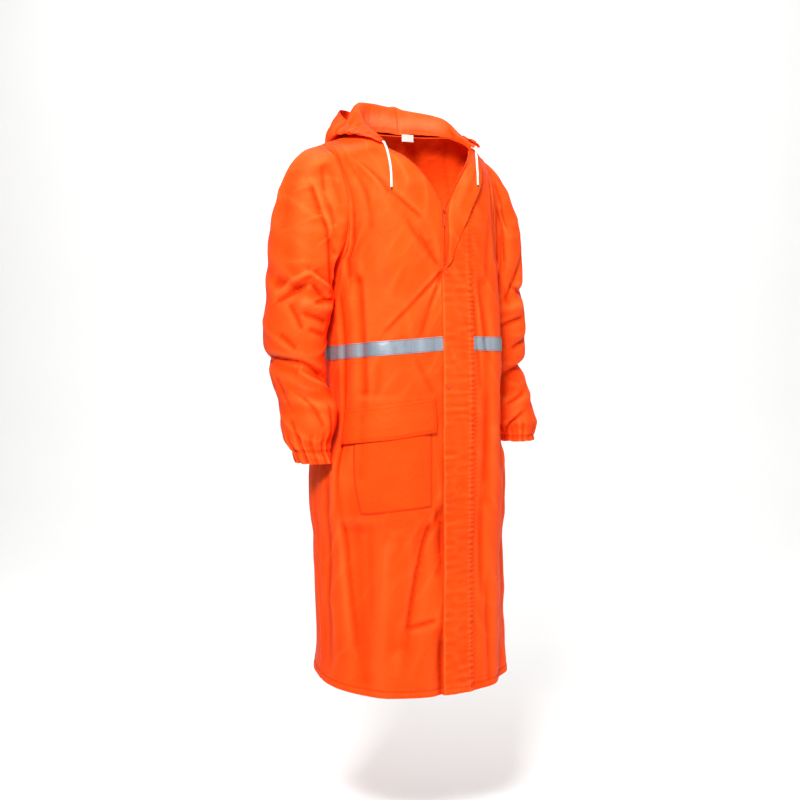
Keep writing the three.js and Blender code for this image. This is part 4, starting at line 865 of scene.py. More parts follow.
def hood_half(front, back, side, creases, seed):
    """Half of the hood, in rows from the neck seam over the standing crest and pouch to the rim."""
    neck = list(front.points[CORNER_ROW:, 0])
    top = back.points[-1]
    middle = (len(top) - 1) // 2
    run = top[middle::-1] if side < 0 else top[middle:]
    neck += [p for p in run[::-1] if abs(p[0]) < 106]
    neck = np.array(neck)
    lengths = arc_lengths(neck)
    table = HOOD_TABLE[side]
    columns = []
    for i in range(HOOD_STATIONS + 1):
        at = i / HOOD_STATIONS
        seam = point_along(neck, lengths, at * lengths[-1]) + np.array([0, 0, HOOD_SEAM_LIFT])
        crest, low, rim = [
            np.array([side, 1, 1]) * [smooth(table, "at", f"{name}_{axis}", at) for axis in "xyz"]
            for name in ("crest", "low", "rim")
        ]
        inner = mix(crest, low, 0.55) + [-side * 6 * (1 - at), -6 * at, 0]
        outer = mix(low, rim, 0.5) + [side * 12 * (1 - at) * ease(at / 0.2), 18 * at, 0]
        curve = spaced_curve([seam, crest, inner, low, outer, rim], HOOD_STEPS)
        columns.append([p if j < 1 else clear_of_shoulder(p) for j, p in enumerate(curve)])
    coarse = evened(evened(np.array(columns).swapaxes(0, 1)))
    fine = refined(coarse, [HOOD_FINE[1]] * HOOD_STEPS, HOOD_FINE[0])
    sheet = Sheet(fine, arc_lengths(fine, 1), -side)
    along = arc_lengths(fine)
    station = np.linspace(0, 1, fine.shape[1])[None] * np.ones((len(fine), 1))
    edge = ease((1 - station) * 14) * ease(station * 20)
    crest_row = np.argmax(fine[: len(fine) // 2, :, 2], axis=0)
    from_crest = (np.arange(len(fine))[:, None] - crest_row[None]) / HOOD_FINE[1]
    edge = edge * (1 - 0.95 * bell(from_crest, 2.4))
    round_neck = station * HOOD_ACROSS
    off_seam = ease(along / 12)
    relief = HOOD_RELIEF
    rise = fold_rise(creases, round_neck, along, ends=True) * edge
    rise += relief["wave"] * soft_noise(round_neck, along, 46, seed) * edge * off_seam
    rise += relief["ripple"] * soft_noise(round_neck, along, 19, seed + 1) * edge * off_seam
    rise += relief["plane"] * crumple(round_neck, along, 40, seed + 4) * edge * off_seam
    rise = rise - 2.2 * bell(1 - station, 0.014)
    made = sheet.raised(rise)
    lift = HOOD_CREST_UP * ease((station - 0.25) / 0.35) * (1 - 0.55 * ease((station - 0.86) / 0.12))
    made.points[..., 2] += lift * bell(from_crest, 2)
    made.find_normals()
    made.along = along
    made.station = station
    return made


HOOD_CREASES = {
    -1: rows(
        FOLD_COLUMNS,
        (120, 10, 96, 120, 7, -4, 1.3, 0.3),
        (170, 20, 150, 150, 9, 4, 1.4, 0),
        (220, 60, 200, 200, 10, -5, 1.4, 0.3),
        (260, 20, 300, 70, 6, -2.6, 1.2, 0.3),
        (300, 60, 372, 58, 6, 2.4, 1.3, 0),
        (320, 30, 350, 66, 5, -2.4, 1.2, 0),
        (290, 160, 340, 300, 14, -5, 1.5, 0),
        (60, 30, 90, 90, 7, -3, 1.3, 0),
    ),
    1: rows(
        FOLD_COLUMNS,
        (40, 10, 60, 60, 6, -3.5, 1.3, 0.3),
        (84, 20, 70, 80, 6, 3, 1.3, 0),
        (130, 20, 110, 120, 8, -4, 1.3, 0.3),
        (240, 30, 330, 50, 6, -2.2, 1.2, 0.3),
        (200, 20, 240, 60, 6, 2.4, 1.3, 0),
        (300, 160, 330, 310, 14, -5, 1.5, 0),
        (180, 90, 190, 220, 10, -5, 1.4, 0),
    ),
}


@cache
def form():
    """The body, sleeve and hood sheets, worked out once."""
    right = panel(
        *body_half(-1, -1, ARMHOLE_FRONT), -1, FRONT_RIGHT_FOLDS, FRONT_RIGHT_CREASES, 11, POCKET_CALM,
    )
    left = panel(*body_half(-1, 1, ARMHOLE_FRONT), 1, FRONT_LEFT_FOLDS, FRONT_LEFT_CREASES, 23)
    z = left.points[..., 2]
    beside = bell(abs(left.across) - FLAP_SEWN_X - 3, 7) * ease((-262 - z) / 14)
    sheets = {"front_right": right, "front_left": left.raised(-0.8 * beside)}
    right, right_across = body_half(1, -1, ARMHOLE_BACK)
    left, left_across = body_half(1, 1, ARMHOLE_BACK)
    points = np.concatenate([right[:, :0:-1], left], axis=1)
    across = np.concatenate([-right_across[:, :0:-1], left_across], axis=1)
    back = panel(points, across, -1, BACK_FOLDS, BACK_CREASES, 37)
    sheets["back"] = back
    for side, end, creases in ((-1, "right", SLEEVE_RIGHT_CREASES), (1, "left", SLEEVE_LEFT_CREASES)):
        front = sheets[f"front_{end}"]
        before = front.points[ARMPIT_ROW:, -1][::-1]
        behind = back.points[ARMPIT_ROW:, 0 if side < 0 else -1]
        edge = np.concatenate([before, behind[1:-1]])
        sheets[f"sleeve_{end}"] = sleeve_sheet(side, edge, creases, 51 + side)
        sheets[f"hood_{end}"] = hood_half(front, back, side, HOOD_CREASES[side], 71 + side)
    return sheets


def mesh_piece(name, points, faces, sharp=None, uv=None):
    """A piece from points in millimetres and faces, riding on the coat's body."""
    mesh = bpy.data.meshes.new(name)
    mesh.from_pydata((np.asarray(points) * MM).tolist(), [], [list(f) for f in faces])
    if uv is not None:
        layer = mesh.uv_layers.new(name="Cloth")
        corner = np.zeros(len(mesh.loops), np.int32)
        mesh.loops.foreach_get("vertex_index", corner)
        layer.data.foreach_set("uv", (np.asarray(uv) * MM)[corner].astype(np.float32).ravel())
    mesh.polygons.foreach_set("use_smooth", [True] * len(mesh.polygons))
    if sharp:
        mesh.set_sharp_from_angle(angle=math.radians(sharp))
    mesh.update()
    piece = bpy.data.objects.new(name, mesh)
    bpy.context.scene.collection.objects.link(piece)
    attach(piece, COAT)
    return piece


def wall_faces(row_count, count, closed):
    """Faces of a closed wall: its outer side, its inner side and the edges between."""
    columns = count if closed else count - 1
    j, i = np.meshgrid(np.arange(row_count - 1), np.arange(columns), indexing="ij")
    k = (i + 1) % count
    a, b, c, d = j * count + i, j * count + k, (j + 1) * count + k, (j + 1) * count + i
    outer = np.stack([a, b, c, d], axis=-1).reshape(-1, 4)
    shift = row_count * count
    inner = outer[:, ::-1] + shift
    i = np.arange(columns)
    k = (i + 1) % count
    top = (row_count - 1) * count
    edges = [
        np.stack([i + shift, k + shift, k, i], axis=-1),
        np.stack([top + i, top + k, top + k + shift, top + i + shift], axis=-1),
    ]
    if not closed:
        a = np.arange(row_count - 1) * count
        d = a + count
        edges.append(np.stack([a + shift, a, d, d + shift], axis=-1))
        b, c = a + count - 1, d + count - 1
        edges.append(np.stack([b, b + shift, c + shift, c], axis=-1))
    return np.concatenate([outer, inner, *edges])


def mark(piece, name, values):
    """Give a piece's points a value that its material reads."""
    layer = piece.data.attributes.new(name, "FLOAT", "POINT")
    layer.data.foreach_set("value", np.asarray(values).ravel().astype(np.float32))


def hollows(sheet, full=1.6, reach=2):
    """How far each point of a sheet lies below those around it, from -1 to 1 at a full depth in mm."""
    p = sheet.points

    def moved(down, along):
        j = np.clip(np.arange(len(p)) + down, 0, len(p) - 1)
        i = np.arange(p.shape[1]) + along
        i = i % p.shape[1] if sheet.closed else np.clip(i, 0, p.shape[1] - 1)
        return p[j][:, i]

    around = (moved(reach, 0) + moved(-reach, 0) + moved(0, reach) + moved(0, -reach)) / 4
    return np.clip(np.sum((around - p) * sheet.normals, axis=-1) / full, -1, 1)


def border(sheet):
    """Distance of each point of a sheet from its sides and its bottom edge, in mm."""
    width = abs(sheet.across[0, -1] - sheet.across[0, 0])
    height = abs(sheet.points[-1, 0, 2] - sheet.points[0, 0, 2])
    part = np.linspace(0, 1, sheet.points.shape[1])[None]
    share = np.linspace(0, 1, len(sheet.points))[:, None]
    return np.minimum(np.minimum(part, 1 - part) * width, share * height)


def dress(piece, node, material):
    """Let a piece stand for its CAD node and a material."""
    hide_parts(node)
    piece.data.materials.append(material)


def wall_piece(name, sheet, wall, material, ending="_cloth", hollow=None):
    """A closed wall of cloth below a sheet, standing for its CAD node."""
    points = sheet.points.reshape(-1, 3)
    inner = points - sheet.normals.reshape(-1, 3) * wall
    faces = wall_faces(*sheet.points.shape[:2], sheet.closed)
    if sheet.outward < 0:
        faces = faces[:, ::-1]
    uv = np.stack([sheet.across.ravel(), sheet.points[..., 2].ravel()], axis=-1)
    if sheet.closed:
        uv[:, 0] *= ANGLE_TO_ACROSS
    both = np.concatenate([points, inner])
    piece = mesh_piece(name + ending, both, faces, sharp=SHARP_CLOTH, uv=np.concatenate([uv, uv]))
    # Painted shade in the sheet's hollows and a painted highlight on its ridges, for the material to read
    hollow = hollows(sheet) if hollow is None else hollow
    mark(piece, "hollow", [hollow, -hollow])
    dress(piece, name, material)
    return piece


def piece_on(sheet, start, end, bottom, top, size, lift, lean=0):
    """A sheet that lies on another, between two of its columns and two heights."""
    part = np.linspace(0, 1, size[0])
    share = np.linspace(0, 1, size[1])[:, None]
    u = mix(start, end + lean * (share - 0.5), part[None])
    z = mix(bottom(part)[None], top(part)[None], share)
    points, normals = sheet.at(u, sheet.row_at(u, z))
    across = np.interp(u, np.arange(sheet.points.shape[1]), sheet.across[ARMPIT_ROW])
    on = Sheet(points + normals * lift, across, sheet.outward)
    on.part = np.broadcast_to(part, z.shape)
    on.share = np.broadcast_to(share, z.shape)
    return on


def level(a, b):
    """A height that runs evenly from a to b."""
    return lambda part: mix(a, b, np.asarray(part, float))


def lapel_part(z):
    """How far the lapel is turned out at a height: 0 below it, and 1 where it is open."""
    return min(max((z - LAPEL["z"][0]) / LAPEL_OPENS_OVER, 0), 1)


def flap_profile(z):
    """The storm flap's line at a height: distance from the centre front and lift at seven places."""
    turned = z > LAPEL["z"][0]
    fold = smooth(LAPEL, "z", "fold", z) if turned else FLAP_FOLD_X
    free = smooth(LAPEL, "z", "free", z) if turned else FLAP_FREE_X
    sewn = max(FLAP_SEWN_X, fold + 26) if turned else FLAP_SEWN_X
    wide = lapel_part(z)
    gap = LAPEL_GAP * wide
    reach = max(free - fold, 0)
    return np.array([
        (sewn, FLAP_SEWN_LIFT),
        (mix(sewn, fold, 0.5), FLAP_LIFT),
        (mix(sewn, fold, 0.92), FLAP_LIFT),
        (mix(-8.2, fold - 0.6, wide), FLAP_LIFT + gap / 2),
        (mix(-8.8, fold + 2, wide), FLAP_LIFT + gap),
        (mix(-9.4, fold + max(reach * 0.5, 2.6), wide), FLAP_LIFT + gap + 0.6 * wide),
        (mix(FLAP_FREE_X, max(free, fold + 3.4), wide), FLAP_LIFT + gap + 1.6 * wide),
    ])


def across_front(z):
    """The left front's section at a height: each column's place and normal there."""
    front = form()["front_left"]
    u = np.arange(front.points.shape[1], dtype=float)
    return front.at(u, front.row_at(u, np.full(u.shape, float(z))))


def on_section(line, x, lift):
    """Places at distances from the centre front on a section, run on straight past its edge."""
    points, normals = line
    slope = (points[3, 1] - points[0, 1]) / (points[3, 0] - points[0, 0])
    y = np.interp(x, points[:, 0], points[:, 1])
    y = np.where(x < points[0, 0], points[0, 1] + slope * (x - points[0, 0]), y)
    normal = unit(np.stack([np.interp(x, points[:, 0], normals[:, k]) for k in range(3)], axis=-1))
    return np.stack([x, y, np.full(x.shape, points[0, 2])], axis=-1) + normal * lift[:, None]


FLAP_SPANS = (12, 10, 3, 3, 5, 6)


@cache
def storm_flap():
    """The flap's outer and inner sides, in rows from the hem to the lapel's top."""
    span = [k + np.arange(n) / n for k, n in enumerate(FLAP_SPANS)]
    at = np.append(np.concatenate(span), len(FLAP_SPANS))
    lapel_end = LAPEL["z"][-1]
    plain = np.arange(HEM_FRONT + 2, FLAP_ROWS_TO, FLAP_ROW)
    heights = [*plain, *np.arange(FLAP_ROWS_TO, lapel_end, LAPEL_ROW), lapel_end]
    sides = ([], [])
    seat = []
    for z in heights:
        line = through(flap_profile(z), np.arange(7.0), at)
        from_sewn = line[0, 0] - line[:, 0]
        wide = lapel_part(z)
        flat = at < 3
        pucker = seam_pucker(z) + 0.4
        line[:, 1] += flat * 0.6 * pucker * bell(from_sewn - 4, 11) * (1 - 0.5 * wide)
        level_z = np.full(at.shape, z)
        ripple = soft_noise(from_sewn * 0.3 + 100, level_z, 10, 97)
        line[:, 1] += flat * 0.75 * (ripple + 0.4) * ease(from_sewn / 10) * (1 - wide)
        crisp = crumple(from_sewn * 0.45 + 50, level_z, 17, 98)
        line[:, 1] += flat * 1.3 * (crisp + 0.7) * ease(from_sewn / 8) * (1 - 0.5 * wide)
        line[:, 1] -= flat * 0.5 * bell(from_sewn - 5.5, 1.8)
        waves = soft_noise(from_sewn + 300, level_z, 38, 91)
        line[:, 1] += flat * 1.3 * ease(from_sewn / 14) * (waves + 0.8) * 0.6
        dips = 0.8 * soft_noise(np.zeros(1), np.array([z]), 27, 93)[0]
        line[:, 0] += dips * ease((at - 2) / 2) * (1 - wide)
        curl = soft_noise(at * 14, level_z, 30, 95)
        line[:, 1] += wide * ease((at - 3) / 2) * (1.2 + 1.6 * curl)
        run = unit(np.gradient(line, axis=0))
        normal = np.stack([run[:, 1], -run[:, 0]], axis=-1)
        base = across_front(z)
        for rows_made, turn in zip(sides, (1, -1)):
            off = line + turn * THIN_WALL / 2 * normal
            rows_made.append(on_section(base, off[:, 0], off[:, 1] + THIN_WALL / 2))
        seat.append(line[:, 0])
    return np.array(sides[0]), np.array(sides[1]), np.array(seat), heights


def zip_tape(sheet):
    """The zip's tape under a front's edge, in rows from the hem to the opening's top."""
    edge = sheet.points[:CORNER_ROW + 1, 0]
    inward = unit(sheet.points[:CORNER_ROW + 1, 1] - edge)
    normal = sheet.normals[:CORNER_ROW + 1, 0]
    reach = np.linspace(-ZIP_TAPE_PAST, ZIP_TAPE_WIDTH, 7)
    depth = -(WALL + ZIP_TAPE_GAP) - 0.6 * (reach > 0)
    points = edge[:, None] + inward[:, None] * reach[None, :, None] + normal[:, None] * depth[None, :, None]
    across = np.broadcast_to(reach, points.shape[:2]).copy()
    return Sheet(points, across, sheet.outward)


def line_on(sheet, u, v, lift=0.1):
    """Places and normals along a line given in a sheet's columns and rows, just above it."""
    u, v = np.broadcast_arrays(np.asarray(u, float), np.asarray(v, float))
    points, normals = sheet.at(u, v)
    return points + normals * lift, normals


def tube_faces(rings, count, flip=False):
    """Faces of a closed tube from rings of points, with its two ends last."""
    faces = []
    for j in range(rings - 1):
        for k in range(count):
            a = j * count + k
            b = j * count + (k + 1) % count
            faces.append((a, b, b + count, a + count))
    ends = [tuple(range(count - 1, -1, -1)), tuple((rings - 1) * count + k for k in range(count))]
    if flip:
        return [(a, d, c, b) for a, b, c, d in faces] + [end[::-1] for end in ends]
    return faces + ends


def joined(parts):
    """One set of points and faces from several."""
    verts = []
    faces = []
    for points, polygons in parts:
        base = len(verts)
        verts.extend(points)
        faces.extend(tuple(base + k for k in face) for face in polygons)
    return verts, faces


STITCH_RINGS = ((0, 0.45), (0.2, 1), (0.8, 1), (1, 0.45))
STITCH_SIDES = 5
STITCH_FACES = tube_faces(len(STITCH_RINGS), STITCH_SIDES)


def stitch_line(points, normals, length, gap, radius):
    """Capsule stitches along a line, each as points and faces."""
    lengths = arc_lengths(points)
    stitches = []
    at = 0.0
    while at + length <= lengths[-1]:
        a, b = (point_along(points, lengths, d) for d in (at, at + length))
        n = unit(point_along(normals, lengths, at + length / 2))
        side = np.cross(n, unit(b - a))
        verts = []
        for part, size in STITCH_RINGS:
            middle = mix(a, b, part) + n * radius * (0.25 + 0.7 * math.sin(math.pi * part))
            for k in range(STITCH_SIDES):
                turn = math.radians(k * 360 / STITCH_SIDES)
                round_thread = side * math.cos(turn) * 1.1 + n * math.sin(turn)
                verts.append(middle + round_thread * radius * size)
        stitches.append((verts, STITCH_FACES))
        at += length + gap
    return stitches


def lathe(profile, count):
    """Points and faces of a form turned round the y axis, from (radius, y) places."""
    turns = [2 * math.pi * k / count for k in range(count)]
    verts = []
    for radius, y in profile:
        verts += [(radius * math.cos(turn), y, radius * math.sin(turn)) for turn in turns]
    return verts, tube_faces(len(profile), count)


TOOTH_RINGS = ((-1, 1), (0.4, 1), (1, 0.6))
TOOTH_CORNERS = ((-1, -1), (1, -1), (1, 1), (-1, 1))
TOOTH_SIZE = (0.75, 1.7, 0.95)
TOOTH_FACES = tube_faces(len(TOOTH_RINGS), len(TOOTH_CORNERS))


def tooth(middle, along, side, normal):
    """A small moulded zip tooth: a block that narrows towards the end at its side."""
    size = TOOTH_SIZE
    verts = []
    for s, narrow in TOOTH_RINGS:
        for a, n in TOOTH_CORNERS:
            verts.append(
                middle + along * a * size[0] * narrow + side * s * size[1] + normal * n * size[2] * narrow
            )
    return verts, TOOTH_FACES


class Wave:
    """A shader socket that takes sums, so that a material's maths reads as plain arithmetic."""

    def __init__(self, tree, socket):
        self.tree = tree
        self.socket = socket

    @staticmethod
    def plug(tree, target, value):
        """Link a socket, or set a constant of the target's own kind."""
        if isinstance(value, Wave):
            tree.links.new(value.socket, target)
        elif hasattr(target.default_value, "__len__") and not hasattr(value, "__len__"):
            target.default_value = [value] * len(target.default_value)
        elif hasattr(value, "__len__"):
            target.default_value = list(value)[:len(target.default_value)]
        else:
            target.default_value = value

    def sum(self, operation, *others, swap=False):
        """One maths node on this socket and others."""
        node = self.tree.nodes.new("ShaderNodeMath")
        node.operation = operation
        values = [self, *others]
        if swap:
            values.reverse()
        for k, value in enumerate(values):
            self.plug(self.tree, node.inputs[k], value)
        return Wave(self.tree, node.outputs[0])

    def __add__(self, other):
        return self.sum("ADD", other)

    def __radd__(self, other):
        return self.sum("ADD", other)

    def __sub__(self, other):
        return self.sum("SUBTRACT", other)

    def __rsub__(self, other):
        return self.sum("SUBTRACT", other, swap=True)

    def __mul__(self, other):
        return self.sum("MULTIPLY", other)

    def __rmul__(self, other):
        return self.sum("MULTIPLY", other)

    def __truediv__(self, other):
        return self.sum("DIVIDE", other)

    def clip(self):
        node = self.tree.nodes.new("ShaderNodeClamp")
        self.tree.links.new(self.socket, node.inputs[0])
        return Wave(self.tree, node.outputs[0])

    def above(self, low, high):
        """0 below low, 1 above high, and even between."""
        return ((self - low) / (high - low)).clip()

    def sine(self):
        return self.sum("SINE")

    def part(self, name):
        """Another output of the node that this socket is on."""
        return Wave(self.tree, self.socket.node.outputs[name])


class Shader:
    """A material's nodes: each call adds one, with its settings first and then its inputs."""

    def __init__(self, name, roughness=0.5, **constants):
        self.material = bpy.data.materials.new(name)
        self.material.use_nodes = True
        self.tree = self.material.node_tree
        self.surface = self.tree.nodes["Principled BSDF"]
        self.surface.inputs["Roughness"].default_value = roughness
        for key, value in constants.items():
            Wave.plug(self.tree, self.surface.inputs[key.replace("_", " ")], value)

    def node(self, kind, output=0, settings=None, **inputs):
        node = self.tree.nodes.new(kind)
        for key, value in (settings or {}).items():
            setattr(node, key, value)
        for key, value in inputs.items():
            name = int(key[1:]) if key[0] == "_" else key.replace("_", " ")
            Wave.plug(self.tree, node.inputs[name], value)
        return Wave(self.tree, node.outputs[output])

    def place(self):
        """Place on the object, in metres."""
        return self.node("ShaderNodeTexCoord", "Object")

    def cloth_place(self):
        """Place across the flat cloth, in metres; its part Y is the place along it."""
        at = self.node("ShaderNodeTexCoord", "UV")
        return self.node("ShaderNodeSeparateXYZ", "X", _0=at)

    def noise(self, at, scale, detail=2.0, roughness=0.5, distortion=0.0):
        return self.node(
            "ShaderNodeTexNoise",
            Vector=at, Scale=scale, Detail=detail, Roughness=roughness, Distortion=distortion,
        )

    def attribute(self, name):
        """A value that mark() gave to the piece's points."""
        return self.node("ShaderNodeAttribute", "Fac", {"attribute_name": name})

    def mix_colour(self, factor, a, b):
        """Colour a where the factor is 0 and b where it is 1."""
        return self.node("ShaderNodeMix", 2, {"data_type": "RGBA"}, _0=factor, _6=a, _7=b)

    def bump(self, height, distance, normal=None, strength=1.0):
        inputs = {"Height": height, "Distance": distance, "Strength": strength}
        if normal:
            inputs["Normal"] = normal
        return self.node("ShaderNodeBump", **inputs)

    def set(self, **inputs):
        for key, value in inputs.items():
            Wave.plug(self.tree, self.surface.inputs[key.replace("_", " ")], value)
        return self.material


def colour(code):
    """A colour's linear parts from six sRGB hex digits."""
    parts = [int(code[k:k + 2], 16) / 255 for k in (0, 2, 4)]
    return [p / 12.92 if p <= 0.04045 else ((p + 0.055) / 1.055) ** 2.4 for p in parts] + [1.0]


@cache
def coated_cloth(name="coated_cloth", seam=False):
    """Coated cloth: soft sheen, a fine pebbled skin and small set-in wrinkles.

    With seam, it puckers along the line where the storm flap is sewn to the front.
    """
    props = bpy.context.scene.raincoat_cloth
    shader = Shader(name, IOR=1.45, Specular_IOR_Level=0.06, Specular_Tint=(1.0, 0.62, 0.38, 1.0))
    at = shader.place()
    patches = shader.noise(at, 9, detail=3)
    speckle = shader.noise(at, 420, detail=2)
    base = shader.mix_colour(patches.above(0.3, 0.7), colour("F6420F"), colour("FC4B13"))
    base = shader.mix_colour(speckle.above(0.45, 0.75) * 0.25, base, colour("FF580A"))
    base = shader.mix_colour(shader.attribute("glow").clip(), base, colour("FF8E62"))
    # Painted shade: darker in hollows and along seams; painted highlight: paler on the ridges of folds
    hollow = shader.attribute("hollow")
    base = shader.mix_colour((hollow * 0.6).clip(), base, colour("B01A00"))
    base = shader.mix_colour((hollow * -0.35).clip(), base, colour("FF7838"))
    wrinkles = shader.noise(at, 38, detail=4, roughness=0.62, distortion=0.6)
    creases = shader.noise(at, 14, detail=3, roughness=0.5, distortion=1.2)
    # The middle of a noise field makes thin lines, like creases that stay in the coating
    line = 1 - ((creases - 0.5).sum("ABSOLUTE") * 14).clip()
    grain = shader.noise(at, 1.0 / props.grain, detail=2)
    soft = shader.bump(wrinkles, props.wrinkle)
    soft = shader.bump(line * wrinkles, props.wrinkle * 0.7, soft)
    fine = shader.bump(grain, props.grain * 0.07, soft)
    if seam:
        flat = shader.cloth_place()
        beside = flat.above(0.062, 0.066) * (1 - flat.above(0.068, 0.082))
        waves = (flat.part("Y") * 640 + shader.noise(at, 30, detail=1) * 9).sine()
        fine = shader.bump(waves * beside, 0.0006, fine)
    rough = 0.52 + (patches - 0.5) * 0.14 + (speckle - 0.5) * 0.1
    return shader.set(Base_Color=base, Roughness=rough, Normal=fine)


@cache
def thread():
    """Twisted sewing thread, a little darker than the cloth."""
    shader = Shader("thread", Specular_IOR_Level=0.2)
    twist = shader.noise(shader.place(), 1400, detail=1)
    base = shader.mix_colour(twist, colour("A02804"), colour("C43A08"))
    return shader.set(Base_Color=base, Roughness=0.6 + twist * 0.2)


@cache
def reflective_tape():
    """Grey tape of tiny glass beads on woven cloth, with a fine weave and dull streaks."""
    shader = Shader("reflective_tape", IOR=1.6)
    at = shader.place()
    beads = shader.node("ShaderNodeTexVoronoi", "Distance", Vector=at, Scale=1500)
    streak = shader.noise(at, 60, detail=3)
    weave = shader.noise(at, 700, detail=2)
    across = shader.node("ShaderNodeCombineXYZ", "Vector", X=shader.cloth_place() * 26, Y=0.4, Z=0.1)
    band = shader.noise(across, 1.0, detail=3, roughness=0.6)
    base = shader.mix_colour(band.above(0.38, 0.64), colour("727C88"), colour("98A2AC"))
    base = shader.mix_colour(streak.above(0.4, 0.8) * 0.3, base, colour("88929C"))
    base = shader.mix_colour(weave.above(0.5, 0.7) * 0.4, base, colour("AEB6BE"))
    normal = shader.bump(beads, 0.00006, shader.bump(streak, 0.0006))
    rough = 0.36 + streak * 0.2
    return shader.set(Base_Color=base, Roughness=rough, Metallic=0.25 + weave * 0.2, Normal=normal)


@cache
def moulded(name, dark, light, roughness):
    """Moulded plastic with a faint flow pattern and scuffs."""
    shader = Shader(name, IOR=1.5, Specular_IOR_Level=0.4, Specular_Tint=(1.0, 0.7, 0.5, 1.0))
    at = shader.place()
    flow = shader.noise(at, 180, detail=3)
    scuff = shader.noise(at, 900, detail=2, distortion=1.5)
    base = shader.mix_colour(flow, colour(dark), colour(light))
    rough = roughness + scuff.above(0.55, 0.75) * 0.2
    return shader.set(Base_Color=base, Roughness=rough, Normal=shader.bump(scuff, 0.00003))


@cache
def label_weave():
    """Plain woven white cloth, for the label."""
    shader = Shader("label_weave", Sheen_Weight=0.2)
    flat = shader.cloth_place()
    pitch = 0.0007
    across = (flat * (math.pi / pitch)).sine()
    along = (flat.part("Y") * (math.pi / pitch)).sine()
    weave = (across * along) * 0.5 + 0.5
    base = shader.mix_colour(weave, colour("B8B4AC"), colour("D8D5CE"))
    normal = shader.bump(weave, pitch * 0.2)
    return shader.set(Base_Color=base, Roughness=0.75 + weave * 0.1, Normal=normal)


@cache
def braid():
    """Round white braid: two sets of strands that cross, from the tube's own map."""
    shader = Shader("cord_braid", Sheen_Weight=0.3)
    flat = shader.cloth_place()
    turn = flat * (2 * math.pi * 6)
    along = flat.part("Y") * (2 * math.pi / 0.0042)
    strands = ((turn + along).sine() * (turn - along).sine()) * 0.5 + 0.5
    base = shader.mix_colour(strands, colour("C9C2B8"), colour("F7F4EE"))
    normal = shader.bump(strands, 0.0004)
    return shader.set(Base_Color=base, Roughness=0.7 + strands * 0.15, Normal=normal)


def metres(name, description, default, low, high, precision=4):
    """A setting that is a length."""
    return bpy.props.FloatProperty(
        name=name, description=description, default=default, min=low, max=high, precision=precision,
        unit="LENGTH", subtype="DISTANCE",
    )


def watts(name, description, default):
    """A setting that is a lamp's power."""
    return bpy.props.FloatProperty(name=name, description=description, default=default, min=0, unit="POWER")


class RaincoatCloth(bpy.types.PropertyGroup):
    """The coated cloth's surface."""

    grain: metres("Grain", "Size of the coating's fine pebbles", 0.0009, 0.0002, 0.01)
    wrinkle: metres("Wrinkle depth", "Depth of the small wrinkles in the surface", 0.0013, 0, 0.01)


class RaincoatSewing(bpy.types.PropertyGroup):
    """The stitches."""

    length: metres("Stitch length", "Length of one stitch", 0.0029, 0.001, 0.01)
    gap: metres("Stitch gap", "Gap between two stitches", 0.0009, 0.0001, 0.01)
    thread: metres("Thread radius", "Radius of the sewing thread", 0.00032, 0.0001, 0.002, 5)


class RaincoatZip(bpy.types.PropertyGroup):
    """The zip's teeth."""

    pitch: metres("Tooth pitch", "Distance between two teeth of one side", 0.003, 0.001, 0.01)


class RaincoatStage(bpy.types.PropertyGroup):
    """Light and floor."""

    key: watts("Key light", "Power of the large soft light", 146.0)
    fill: watts("Fill light", "Power of the weaker lights", 34.0)
    backdrop: watts("Backdrop light", "Power of the light on the backdrop", 170.0)
    sky: bpy.props.FloatProperty(
        name="Sky", description="Strength of the pale surroundings", default=0.17, min=0, subtype="FACTOR",
    )


def needed(name):
    """A sheet of the form by name, or an error that says what is missing."""
    sheets = form()
    if name not in sheets:
        raise RuntimeError(f"the form has no sheet named {name}")
    return sheets[name]


class RAINCOAT_OT_camera(bpy.types.Operator):
    """Place the camera at the photograph's angle and distance."""

    bl_idname = "raincoat.camera"
    bl_label = "Camera"

    def execute(self, context):
        data = bpy.data.cameras.new("camera")
        data.sensor_width = CAMERA["sensor"]
        data.lens = CAMERA["lens"]
        data.shift_x, data.shift_y = CAMERA["shift"]
        data.clip_end = 60
        camera = bpy.data.objects.new("camera", data)
        turn = math.radians(CAMERA["turn"])
        distance = CAMERA["distance"]
        camera.location = (distance * math.sin(turn), -distance * math.cos(turn), CAMERA["height"])
        camera.rotation_euler = (math.radians(90), 0, turn)
        context.scene.collection.objects.link(camera)
        context.scene.camera = camera
        return {"FINISHED"}


